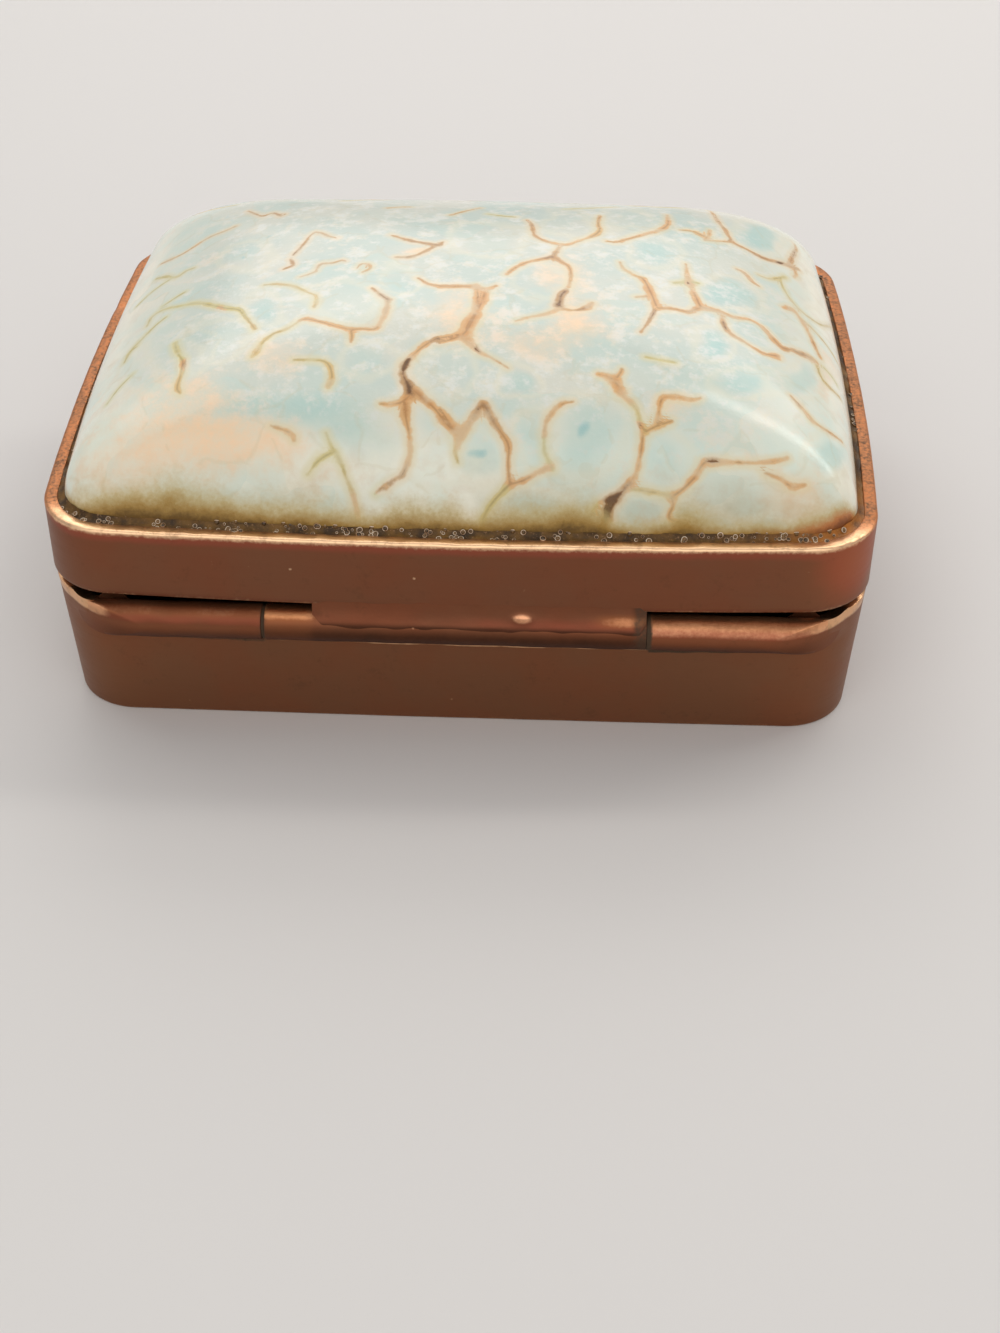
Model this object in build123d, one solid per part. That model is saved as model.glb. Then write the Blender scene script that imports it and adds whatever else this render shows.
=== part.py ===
from build123d import *
import math
import os

# Stamp box with a cushion-shaped glass stone set in its hinged metal lid
# Millimetres. X runs along the hinge, the hinge side faces -Y and +Z is up.
# The origin is the middle of the underside. The lid is closed.

# Outline of the lid, measured across the middles of its gently bowed sides
box_length = 43.2
box_width = 33.1
long_bow = 0.64
short_bow = 0.6
corner_radius = 3.8

# Height of the joint between base and lid, and of the lid's band above it
joint_height = 7.9
lid_height = 3.7

# Base: a soldered band of sheet, narrower and straighter at its foot
base_wall_thickness = 0.75
base_step = 0.08
foot_inset = 0.35
foot_bow = 0.1
closing_gap = 0.1
floor_thickness = 0.6

# Collar inside the base, which the closed lid slips over
collar_thickness = 0.4
collar_headroom = 0.45
collar_depth = 2.6
collar_lead = 0.15

# Curved rest that lifts the ends of the stamps
rest_thickness = 0.35
rest_rise = 2.4
rest_play = 0.1

# Lid: a band with an inner plate that carries the stone
lid_wall_thickness = 0.65
plate_thickness = 0.5
setting_depth = 1.55
rim_bevel = 0.18

# Cement bed round and under the stone
cement_gap = 0.35
cement_bed_thickness = 0.15
cement_drop = 0.25

# Stone: upright foot, then a dome over rounded level outlines
girdle_drop = 0.2
dome_height = 7.55
dome_power = 2.4
dome_root = 0.46
foot_corner_share = 0.19
top_corner_share = 0.75
dome_levels = 24
crown_angle = 82.0

# Hinge: three knuckles of drawn tube on one pin
knuckle_radius = 0.95
pin_radius = 0.42
pin_play = 0.03
pin_side_inset = 0.4
pin_drop = 1.4
centre_knuckle_length = 19.4
knuckle_gap = 0.16
knuckle_play = 0.15
filed_allowance = 0.1
pin_cover = 0.8

# Solder that carries the centre knuckle under the lid's wall
solder_left_bare = 2.45
solder_right_bare = 0.75
solder_climb = 0.55
solder_root = 0.25
solder_angle = 148.0

# Thumb lip on the opening side
lip_length = 9.0
lip_reach = 0.85
lip_height = 0.8
lip_lift = 0.15
lip_bevel = 0.2

# One overrun for every cut
overrun = 1.0

chord_half_length = box_length / 2 - short_bow
chord_half_width = box_width / 2 - long_bow
pin_y = pin_side_inset - box_width / 2
pin_z = joint_height - pin_drop
base_top = joint_height - closing_gap
rim_height = joint_height + lid_height
base_inner_inset = base_step + base_wall_thickness
plate_top = rim_height - setting_depth
plate_foot = plate_top - plate_thickness
collar_top = plate_foot - collar_headroom
stone_inset = lid_wall_thickness + cement_gap
stone_foot = plate_top + cement_bed_thickness
girdle_top = rim_height - girdle_drop
filed_line = (
    chord_half_length + chord_half_width - 2 * corner_radius + (corner_radius + filed_allowance) * math.sqrt(2)
)
pin_half_length = filed_line + pin_y - pin_radius - pin_cover


def bowed_face(half_length, half_width, long_side, short_side, corner, height):
    """Face at a height: four bowed sides with rounded corners, from the chords of the sides."""
    corners = (
        (-half_length, -half_width),
        (half_length, -half_width),
        (half_length, half_width),
        (-half_length, half_width),
    )
    middles = (
        (0, -half_width - long_side),
        (half_length + short_side, 0),
        (0, half_width + long_side),
        (-half_length - short_side, 0),
    )
    with BuildSketch(Plane.XY.offset(height)) as sketch:
        with BuildLine():
            for index, middle in enumerate(middles):
                ThreePointArc(corners[index], middle, corners[(index + 1) % len(corners)])
        make_face()
        fillet(sketch.vertices(), corner)
    return sketch.sketch


def bowed_outline(inset, height, long_side=long_bow, short_side=short_bow):
    """The lid's outline at a height, drawn in by an inset."""
    half_length = chord_half_length - inset
    half_width = chord_half_width - inset
    return bowed_face(half_length, half_width, long_side, short_side, corner_radius - inset, height)


def prism(inset, low, high):
    """Upright solid on the bowed outline, between two heights."""
    return extrude(bowed_outline(inset, low), high - low)


def base_taper(inset, top_inset, high):
    """Solid that widens from the straight-sided foot to the bowed outline of the joint."""
    foot = bowed_outline(foot_inset + inset, 0, foot_bow, foot_bow)
    top = bowed_outline(top_inset, high)
    return loft([foot, top], ruled=True)


def slab(low, high, near=-box_width, far=box_width, left=-box_length, right=box_length):
    """Block between heights, depths and widths, used to keep or cut a part of a solid."""
    size = (right - left, far - near, high - low)
    middle = ((left + right) / 2, (near + far) / 2, (low + high) / 2)
    return Pos(*middle) * Box(*size)


def rod(radius, left, right):
    """Solid cylinder on the hinge's axis."""
    middle = (left + right) / 2
    return Pos(middle, pin_y, pin_z) * Rot(0, 90, 0) * Cylinder(radius, right - left)


def hinge_room():
    """Space that the tube of the hinge takes out of the back wall, open to the top."""
    centre_half = centre_knuckle_length / 2 + knuckle_gap
    moving_radius = knuckle_radius + knuckle_play
    seat = rod(knuckle_radius, -box_length, box_length)
    sweep = rod(moving_radius, -centre_half, centre_half)
    above_seat = slab(pin_z, joint_height + overrun, pin_y - knuckle_radius, pin_y + knuckle_radius)
    above_sweep = slab(
        pin_z, joint_height + overrun, pin_y - moving_radius, pin_y + moving_radius, -centre_half, centre_half
    )
    return seat + sweep + above_seat + above_sweep


def base_inside():
    """Inside of the base's band, from the table to the joint."""
    return base_taper(base_wall_thickness, base_inner_inset, base_top)


def make_base_wall():
    """Band of the base, let in for the hinge at the back and for the collar at the top."""
    band = base_taper(0, base_step, base_top) - base_inside()
    collar_seat = prism(base_inner_inset, joint_height - collar_depth, joint_height + overrun)
    return band - collar_seat - hinge_room()


def make_base_floor():
    """Plate inside the foot of the base's band."""
    return base_inside() & slab(0, floor_thickness)


def make_closing_collar():
    """Strip round the front and sides that stands up inside the lid."""
    low = joint_height - collar_depth
    high = collar_top
    strip = prism(base_inner_inset, low, high)
    lead = strip.faces().sort_by(Axis.Z)[-1].edges()
    strip = chamfer(lead, collar_lead)
    strip -= prism(base_inner_inset + collar_thickness, low - overrun, high + overrun)
    back = corner_radius - chord_half_width
    return strip - slab(low - overrun, high + overrun, -box_width, back)


def make_stamp_rest():
    """Thin sheet curved like a shallow scoop between the front and the back."""
    half_span = chord_half_width
    radius = (half_span**2 + rest_rise**2) / (2 * rest_rise)
    centre = floor_thickness + radius
    outer = Pos(0, 0, centre) * Rot(0, 90, 0) * Cylinder(radius, box_length)
    inner = Pos(0, 0, centre) * Rot(0, 90, 0) * Cylinder(radius - rest_thickness, box_length + overrun)
    room = base_taper(base_wall_thickness + rest_play, base_inner_inset + rest_play, base_top)
    return (outer - inner) & room & slab(0, floor_thickness + rest_rise + rest_thickness)


def filed_room():
    """Room that the ends of the hinge keep to once they are filed off along the corners."""
    half_depth = knuckle_radius + overrun - pin_y
    cut = box_length / 2 + half_depth - filed_line
    with BuildSketch(Plane.XY.offset(pin_z - knuckle_radius - overrun)) as sketch:
        Rectangle(box_length, 2 * half_depth)
        chamfer(sketch.vertices(), cut)
    return extrude(sketch.sketch, 2 * (knuckle_radius + overrun))


def make_base_knuckle(side):
    """Outer knuckle, soldered into the base; its bore stops short of the filed end."""
    start = centre_knuckle_length / 2 + knuckle_gap
    tube = rod(knuckle_radius, start, box_length / 2) & filed_room()
    tube -= rod(pin_radius + pin_play, start - overrun, pin_half_length + pin_play)
    return tube if side > 0 else mirror(tube, Plane.YZ)


def make_lid_knuckle():
    """Centre knuckle, which turns with the lid."""
    half = centre_knuckle_length / 2
    return rod(knuckle_radius, -half, half) - rod(pin_radius + pin_play, -box_length, box_length)


def make_hinge_pin():
    """Wire that the three knuckles turn on."""
    return rod(pin_radius, -pin_half_length, pin_half_length)


def make_hinge_solder():
    """Fillet of solder between the lid's wall and the top of the centre knuckle."""
    angle = math.radians(solder_angle)
    wall_face = -box_width / 2
    left = solder_left_bare - centre_knuckle_length / 2
    right = centre_knuckle_length / 2 - solder_right_bare
    toe = (pin_y + knuckle_radius * math.cos(angle), pin_z + knuckle_radius * math.sin(angle))
    head = (wall_face + solder_root, joint_height + solder_climb)
    bulge = (
        (toe[0] + wall_face) / 2 + solder_root / 2,
        (toe[1] + head[1]) / 2 - solder_climb / 4,
    )
    inner = wall_face + lid_wall_thickness
    with BuildSketch(Plane.YZ.offset(left)) as section:
        with BuildLine():
            ThreePointArc(toe, bulge, head)
            Polyline(head, (inner, head[1]), (inner, pin_z), (pin_y, pin_z), toe)
        make_face()
    web = extrude(section.sketch, right - left)
    web -= rod(knuckle_radius, -box_length, box_length)
    web -= prism(0, joint_height, rim_height)
    return web.solids().sort_by(SortBy.VOLUME)[-1]


def make_lid_wall():
    """Band of the lid, its rim eased all round."""
    band = prism(0, joint_height, rim_height)
    band = chamfer(band.faces().sort_by(Axis.Z)[-1].edges(), rim_bevel)
    return band - prism(lid_wall_thickness, joint_height - overrun, rim_height + overrun)


def make_lid_plate():
    """Plate across the lid that the stone is bedded on."""
    return prism(lid_wall_thickness, plate_foot, plate_top)


def make_cement_bed():
    """Cement under the stone and up round its foot, sunk a little below the rim."""
    bed = prism(lid_wall_thickness, plate_top, rim_height - cement_drop)
    return bed - prism(stone_inset, stone_foot, rim_height + overrun)


def stone_level(share):
    """Outline of the stone at one level, as a share of its foot, rounder towards the top."""
    half_length = (chord_half_length - stone_inset) * share
    half_width = (chord_half_width - stone_inset) * share
    corner_share = foot_corner_share + (top_corner_share - foot_corner_share) * (1 - share)
    height = girdle_top + dome_height * (1 - share**dome_power) ** dome_root
    return bowed_face(
        half_length, half_width, long_bow * share, short_bow * share, half_width * corner_share, height
    )


def make_glass_cabochon():
    """Cushion-shaped stone: an upright foot in the cement and a hipped dome of close levels above it."""
    step = math.radians(crown_angle / (dome_levels - 1))
    dome = loft([stone_level(math.cos(step * level)) for level in range(dome_levels)], ruled=True)
    return prism(stone_inset, stone_foot, girdle_top) + dome


def make_thumb_lip():
    """Small crescent under the front of the lid for a thumbnail to lift it by."""
    front = box_width / 2
    half = lip_length / 2
    with BuildSketch(Plane.XY.offset(joint_height + lip_lift)) as plan:
        with BuildLine():
            ThreePointArc((-half, front), (0, front + lip_reach), (half, front))
            Polyline((half, front), (half, chord_half_width), (-half, chord_half_width), (-half, front))
        make_face()
    lip = extrude(plan.sketch, lip_height)
    crest = lip.faces().sort_by(Axis.Y)[-1].edges().filter_by(GeomType.CIRCLE)
    return chamfer(crest, lip_bevel) - prism(0, joint_height, rim_height)


pieces = {
    "base_wall": make_base_wall(),
    "base_floor": make_base_floor(),
    "closing_collar": make_closing_collar(),
    "stamp_rest": make_stamp_rest(),
    "left_hinge_knuckle": make_base_knuckle(-1),
    "right_hinge_knuckle": make_base_knuckle(1),
    "hinge_pin": make_hinge_pin(),
    "centre_hinge_knuckle": make_lid_knuckle(),
    "hinge_solder": make_hinge_solder(),
    "lid_wall": make_lid_wall(),
    "lid_plate": make_lid_plate(),
    "cement_bed": make_cement_bed(),
    "glass_cabochon": make_glass_cabochon(),
    "thumb_lip": make_thumb_lip(),
}
os.makedirs("parts", exist_ok=True)
for name, piece in pieces.items():
    export_step(piece, f"parts/{name}.step")
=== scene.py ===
# %% [markdown]
# # A stamp box with a stone-topped lid
# The object is a small soldered metal box. Its lid is a band of sheet metal round a big cushion of
# turquoise matrix glass, and it turns on a tube hinge. The solid model already holds every size,
# so the first step loads it as a fixed frame. Everything below is fitted round that frame in metres.

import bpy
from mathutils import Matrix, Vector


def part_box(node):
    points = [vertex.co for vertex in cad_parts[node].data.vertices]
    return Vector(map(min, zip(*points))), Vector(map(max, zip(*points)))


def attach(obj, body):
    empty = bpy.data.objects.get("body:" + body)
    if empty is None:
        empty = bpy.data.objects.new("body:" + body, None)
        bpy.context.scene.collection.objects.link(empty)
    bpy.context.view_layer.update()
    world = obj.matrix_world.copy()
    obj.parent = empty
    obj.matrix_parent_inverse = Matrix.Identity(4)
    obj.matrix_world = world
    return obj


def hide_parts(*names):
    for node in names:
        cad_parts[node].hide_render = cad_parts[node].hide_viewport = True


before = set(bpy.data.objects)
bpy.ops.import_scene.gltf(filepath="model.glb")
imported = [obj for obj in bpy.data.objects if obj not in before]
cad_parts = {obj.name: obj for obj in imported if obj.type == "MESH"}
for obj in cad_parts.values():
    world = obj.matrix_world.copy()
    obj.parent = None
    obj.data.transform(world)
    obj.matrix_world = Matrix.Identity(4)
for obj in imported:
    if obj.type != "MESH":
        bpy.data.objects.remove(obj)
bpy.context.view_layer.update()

# %% [markdown]
# ## Tools for the lesson
# Blender's own module is bpy. The shapes are worked out in numpy, as arrays of points, because one line
# there moves thousands of points at once. Lengths are written in millimetres, and one name turns them
# into Blender's metres. The standard view shows a colour as it was written, without a film look.

# %% Tools that every later cell uses
import math

import bmesh
import bpy
import numpy as np
from mathutils import Matrix, Vector, noise
from mathutils.bvhtree import BVHTree

mm = 0.001
scene = bpy.context.scene
scene.view_settings.view_transform = "Standard"
print("Blender", bpy.app.version_string)

# %% [markdown]
# ## The camera
# The photograph was taken with a telephone at its longer lens, from the hinge side and well above.
# A camera is four facts: where it stands, how far it tips down, how far it turns, and its lens.
# They were found by fitting the box's measured edges to the picture, so no shift is needed.

# %% Camera
picture_width_px = 1000
picture_height_px = 1333
focal_length_px = 2000
camera_place = Vector((5.58, -97.57, 67.7)) * mm
camera_tip = math.radians(90 - 38.02)
camera_turn = math.radians(2.33)
camera_roll = math.radians(0.18)

camera_data = bpy.data.cameras.new("camera")
camera_data.sensor_fit = "HORIZONTAL"
camera_data.sensor_width = 36
camera_data.lens = camera_data.sensor_width * focal_length_px / picture_width_px
camera_data.clip_start = 5 * mm
camera = bpy.data.objects.new("camera", camera_data)
camera.matrix_world = (
    Matrix.Translation(camera_place)
    @ Matrix.Rotation(camera_turn, 4, "Z")
    @ Matrix.Rotation(camera_tip, 4, "X")
    @ Matrix.Rotation(camera_roll, 4, "Z")
)
scene.collection.objects.link(camera)
scene.camera = camera
print("lens", round(camera_data.lens, 2), "mm")

# %% [markdown]
# ## From the photograph to the model
# Some marks, such as the nick in the rim, are best placed where the photograph shows them. A pixel gives
# only a line of sight, so helpers work it out, follow it to a plane and measure distances from it.

# %% Sight lines
camera_point = np.array(camera_place)


def sight_line(across_px, down_px):
    """Direction in which the camera sees a pixel of the photograph."""
    across = (across_px - picture_width_px / 2) / focal_length_px
    down = (down_px - picture_height_px / 2) / focal_length_px
    return (camera.matrix_world.to_3x3() @ Vector((across, -down, -1))).normalized()


def seen_on_plane(pixel, axis, level):
    """The place that the camera sees at a pixel, on the plane where an axis (1 is y, 2 is z) has a level."""
    sight = sight_line(*pixel)
    return np.array(camera_place + sight * ((level - camera_place[axis]) / sight[axis]))


def from_sight_line(places, across_px, down_px):
    """Distance of places from the line of sight of a pixel."""
    sight = np.array(sight_line(across_px, down_px))
    along = (places - camera_point) @ sight
    return np.linalg.norm(places - camera_point - along[:, None] * sight, axis=1)


middle_px = (picture_width_px / 2, picture_height_px / 2)
print("the camera looks at", np.round(seen_on_plane(middle_px, 2, 0) / mm, 1), "mm on the table")

# %% [markdown]
# ## Sizes of the box
# The heights and thicknesses come from the frame, so the looks can't drift away from the solids.
# Only what a box of extents can't tell, such as the bow of the sides, is written again.

# %% Sizes from the frame
lid_low, lid_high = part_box("lid_wall")
base_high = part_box("base_wall")[1]
stone_low, stone_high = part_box("glass_cabochon")
plate_low, plate_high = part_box("lid_plate")
cement_low, cement_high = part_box("cement_bed")
collar_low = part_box("closing_collar")[0]
lip_low, lip_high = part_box("thumb_lip")
solder_low, solder_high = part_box("hinge_solder")
centre_low, centre_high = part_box("centre_hinge_knuckle")
outer_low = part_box("right_hinge_knuckle")[0]
pin_low, pin_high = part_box("hinge_pin")

long_bow = 0.64 * mm
short_bow = 0.6 * mm
corner_radius = 3.8 * mm
foot_inset = 0.35 * mm
foot_bow = 0.1 * mm
base_thickness = 0.75 * mm
wall_thickness = lid_high.x - plate_high.x
stone_inset = lid_high.x - stone_high.x
base_step = lid_high.x - base_high.x
half_length = lid_high.x - short_bow
half_width = lid_high.y - long_bow
tube_radius = (centre_high.z - centre_low.z) / 2
pin_radius = (pin_high.z - pin_low.z) / 2
pin_y = (centre_low.y + centre_high.y) / 2
pin_z = (centre_low.z + centre_high.z) / 2
print("lid wall", round(wall_thickness / mm, 2), "mm, hinge tube", round(2 * tube_radius / mm, 2), "mm")

# %% [markdown]
# ## One outline for everything
# Base, lid, cement and stone all follow one outline: four gently bowed sides and four round corners.
# It could be drawn as a curve and bevelled, but most pieces need it again and again at another inset.
# So a function works out one quarter of it from its three arcs, and mirrors that quarter round.

# %% Outline of a box
side_points = (30, 16, 24)


def quarter_outline(length, width, long_side, short_side, corner, count):
    """Points from the middle of the far side, round one corner, to the middle of the right side."""
    long_radius = (length**2 + long_side**2) / (2 * long_side)
    short_radius = (width**2 + short_side**2) / (2 * short_side)
    long_centre = np.array([0.0, width + long_side - long_radius])
    short_centre = np.array([length + short_side - short_radius, 0.0])
    between = short_centre - long_centre
    distance = np.hypot(*between)
    direction = between / distance
    across = np.array([direction[1], -direction[0]])
    reach_long = long_radius - corner
    reach_short = short_radius - corner
    along = (distance**2 + reach_long**2 - reach_short**2) / (2 * distance)
    aside = math.sqrt(max(reach_long**2 - along**2, 0))
    centre = long_centre + direction * along + across * aside
    start = math.atan2(centre[1] - long_centre[1], centre[0] - long_centre[0])
    end = math.atan2(centre[1] - short_centre[1], centre[0] - short_centre[0])

    def arc(middle, radius, first, last, steps):
        angles = np.linspace(first, last, steps, endpoint=False)
        return middle + radius * np.column_stack([np.cos(angles), np.sin(angles)])

    return np.vstack([
        arc(long_centre, long_radius, math.pi / 2, start, count[0]),
        arc(centre, corner, start, end, count[1]),
        arc(short_centre, short_radius, end, 0, count[2]),
        [[length + short_side, 0.0]],
    ])


def outline(length, width, long_side, short_side, corner, count=side_points):
    """The closed outline as an array of points, one quarter mirrored round."""
    quarter = quarter_outline(length, width, long_side, short_side, corner, count)
    quarters = [quarter, (quarter * (1, -1))[::-1], quarter * (-1, -1), (quarter * (-1, 1))[::-1]]
    return np.vstack([part[:-1] for part in quarters])


print("points round an outline", 4 * sum(side_points))

# %% [markdown]
# ## Outlines of the lid and the base
# The lid keeps one outline at every height. The base is nearly straight at its foot and bowed like the
# lid at its top, so its outline is a mix of two. The bow of one long side is worked out on its own too,
# for the solder and the thumb lip that grow out of the wall.

# %% Outlines of the lid and the base
def lid_outline(inset, count=side_points):
    """The lid's outline drawn in by an inset."""
    corner = corner_radius - inset
    return outline(half_length - inset, half_width - inset, long_bow, short_bow, corner, count)


def base_outline(inset, height, count=side_points):
    """The base's outline at a height: straight at its foot, bowed like the lid at its top."""
    drawn = foot_inset + inset
    foot = outline(half_length - drawn, half_width - drawn, foot_bow, foot_bow, corner_radius - drawn, count)
    share = height / base_high.z
    return foot * (1 - share) + lid_outline(base_step + inset, count) * share


def long_side_y(x, inset=0.0):
    """How far the lid's long side lies from the middle line at a place along it."""
    radius = (half_length**2 + long_bow**2) / (2 * long_bow)
    return half_width + long_bow - inset - (radius - np.sqrt(radius**2 - x**2))


print("points round the lid", len(lid_outline(0)))

# %% [markdown]
# ## From loops to a mesh
# A soldered band is one profile carried round the outline. Each point of the profile gives one loop
# of vertices, and neighbouring loops are joined by quads. One helper does that for bands, which close
# on themselves, and for solids such as the stone, whose first and last loop shrink to one point.
# The normals are worked out again afterwards, so that every face points outwards.

# %% Mesh helpers
def mesh_from_loops(name, loops, closed_profile=False):
    """Joins loops of points with quads; an open row of loops is closed by a fan at each end."""
    count = len(loops[0])
    points = np.vstack(loops)
    steps = np.arange(count)
    following = (steps + 1) % count
    faces = []
    pairs = len(loops) if closed_profile else len(loops) - 1
    for row in range(pairs):
        low = row * count
        high = ((row + 1) % len(loops)) * count
        faces += np.column_stack([low + steps, low + following, high + following, high + steps]).tolist()
    if not closed_profile:
        first = len(points)
        last = (len(loops) - 1) * count
        points = np.vstack([points, loops[0].mean(0), loops[-1].mean(0)])
        faces += np.column_stack([np.full(count, first), following, steps]).tolist()
        faces += np.column_stack([np.full(count, first + 1), last + steps, last + following]).tolist()
    mesh = bpy.data.meshes.new(name)
    mesh.from_pydata(points.tolist(), [], faces)
    return mesh


def finish_mesh(mesh, sharp_degrees=35):
    """Turns the faces outwards and shades them smooth up to an angle."""
    work = bmesh.new()
    work.from_mesh(mesh)
    bmesh.ops.recalc_face_normals(work, faces=work.faces)
    work.to_mesh(mesh)
    work.free()
    mesh.shade_smooth()
    mesh.set_sharp_from_angle(angle=math.radians(sharp_degrees))
    return mesh

# %% [markdown]
# ## Working on vertices
# A Python loop over vertices is slow, so their places are read into one array, changed by sums on the
# whole array, and written back. Wear and dirt, together with painted highlights and painted shade, are
# numbers stored on the vertices in the same way, which the materials read by name.

# %% Vertex helpers
def vertex_places(mesh):
    """The vertices of a mesh as an array of places."""
    places = np.empty(len(mesh.vertices) * 3, np.float32)
    mesh.vertices.foreach_get("co", places)
    return places.reshape(-1, 3).astype(float)


def move_vertices(mesh, places):
    """Writes an array of places back to the vertices of a mesh."""
    mesh.vertices.foreach_set("co", places.astype(np.float32).ravel())


def paint(mesh, **numbers):
    """Stores numbers on the vertices by name; each is one number for all of them or one for each."""
    for name, values in numbers.items():
        layer = mesh.attributes.new(name, "FLOAT", "POINT")
        layer.data.foreach_set("value", (np.zeros(len(mesh.vertices)) + values).astype(np.float32))


def lift(points, height):
    """Adds a height to flat points."""
    return np.column_stack([points, np.zeros(len(points)) + height])


print("the outline lifted to the rim", lift(lid_outline(0), lid_high.z).shape)

# %% [markdown]
# ## Soft borders and grain
# Nothing on an old box starts at a ruled line. So paint and dents fade in between two limits, glow round
# a middle, and are broken up by smooth noise. The noise is Blender's own, and a seed moves it to a
# fresh patch of the same pattern.

# %% Soft borders and grain
def rise(value, low, high):
    """0 below low, 1 above high and a soft rise between."""
    share = np.clip((np.asarray(value) - low) / (high - low), 0, 1)
    return share * share * (3 - 2 * share)


def fall(value, low, high):
    """1 below low, 0 above high and a soft fall between."""
    return 1 - rise(value, low, high)


def glow(places, middle, reach):
    """1 in the middle, fading to nothing at about twice the reach."""
    return np.exp(-(np.linalg.norm(places - middle, axis=1) / reach) ** 2)


def grain(points, size, seed=0.0):
    """Smooth noise from 0 to 1 at points, with bumps of about that size."""
    offset = Vector((seed, seed * 1.7, seed * 2.3))
    return np.array([0.5 + 0.5 * noise.noise(Vector(point) / size + offset) for point in points])


def by_right_corner(inset_x, inset_y, level):
    """A place inside the lid's right corner on the hinge side."""
    return np.array((half_length - inset_x, -half_width + inset_y, level))


print("halfway up a soft border the share is", rise(0.5, 0, 1))

# %% [markdown]
# ## Adding a piece
# Each piece says which moving body it rides on, which finish it gets and which solid it stands for.
# That solid is hidden, so that two skins never lie over each other. Dirt stands for no solid.

# %% Adding a piece
def add_piece(name, mesh, body, slot_name, material, *stands_for):
    """Links a finished mesh as a piece that rides on a body and stands for CAD nodes."""
    piece = bpy.data.objects.new(name, mesh)
    scene.collection.objects.link(piece)
    if not mesh.materials:
        mesh.materials.append(material)
    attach(piece, body)
    if stands_for:
        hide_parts(*stands_for)
    print(name, len(mesh.polygons), "faces")


print("solids in the frame", len(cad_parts))

# %% [markdown]
# ## A small language for node trees
# Nodes wired one by one are hard to read. One class wraps a socket, so that sums on it add Math nodes,
# and one method adds any other node from its type, its settings and its inputs.
# With these, a finish below reads like the recipe that it is, and a geometry tree can use them too.

# %% Node helpers
class Wire:
    """A value on its way through a node tree; sums on it add Math nodes."""

    def __init__(self, maker, socket):
        self.maker = maker
        self.socket = socket

    def math(self, operation, other, swapped=False):
        terms = (other, self) if swapped else (self, other)
        return self.maker.node("ShaderNodeMath", {"operation": operation}, dict(enumerate(terms)))["Value"]

    def __add__(self, other):
        return self.math("ADD", other)

    __radd__ = __add__

    def __sub__(self, other):
        return self.math("SUBTRACT", other)

    def __rsub__(self, other):
        return self.math("SUBTRACT", other, swapped=True)

    def __mul__(self, other):
        return self.math("MULTIPLY", other)

    __rmul__ = __mul__

    def smallest(self, other):
        return self.math("MINIMUM", other)

    def largest(self, other):
        return self.math("MAXIMUM", other)


class Step:
    """A node that was added; its outputs are read by name."""

    def __init__(self, maker, node):
        self.maker = maker
        self.node = node

    def __getitem__(self, name):
        socket = next(out for out in self.node.outputs if out.enabled and out.name == name)
        return Wire(self.maker, socket)


class NodeMaker:
    """Adds nodes to one tree."""

    def __init__(self, tree):
        self.tree = tree

    def node(self, kind, settings=None, inputs=None):
        """Adds a node of a kind, with its settings, and links or fills its inputs."""
        node = self.tree.nodes.new(kind)
        for name, value in (settings or {}).items():
            setattr(node, name, value)
        for name, value in (inputs or {}).items():
            if isinstance(name, int):
                socket = node.inputs[name]
            else:
                socket = next(entry for entry in node.inputs if entry.enabled and entry.name == name)
            if isinstance(value, Wire):
                self.tree.links.new(value.socket, socket)
            elif isinstance(value, list) and isinstance(value[0], Wire):
                for wire in value:
                    self.tree.links.new(wire.socket, socket)
            else:
                socket.default_value = value
        return Step(self, node)


# %% [markdown]
# ## A finish and its patterns
# Every material here is one Principled shader with patterns fed into it. Colours are picked on the
# usual scale of 0 to 255, while the shader wants linear light, so a helper converts them. Patterns read
# Object coordinates, metres on the piece itself, so they keep a real size and ride with the lid.

# %% Finish helpers
def linear(*levels):
    """A colour picked on the usual scale of 0 to 255, as the shaders want it."""
    shares = [level / 255 for level in levels]
    return tuple(s / 12.92 if s <= 0.04045 else ((s + 0.055) / 1.055) ** 2.4 for s in shares)


def tinted(tone, shares):
    """A tone with each of its three levels scaled by a share."""
    return tuple(level * share for level, share in zip(tone, shares))


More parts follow.
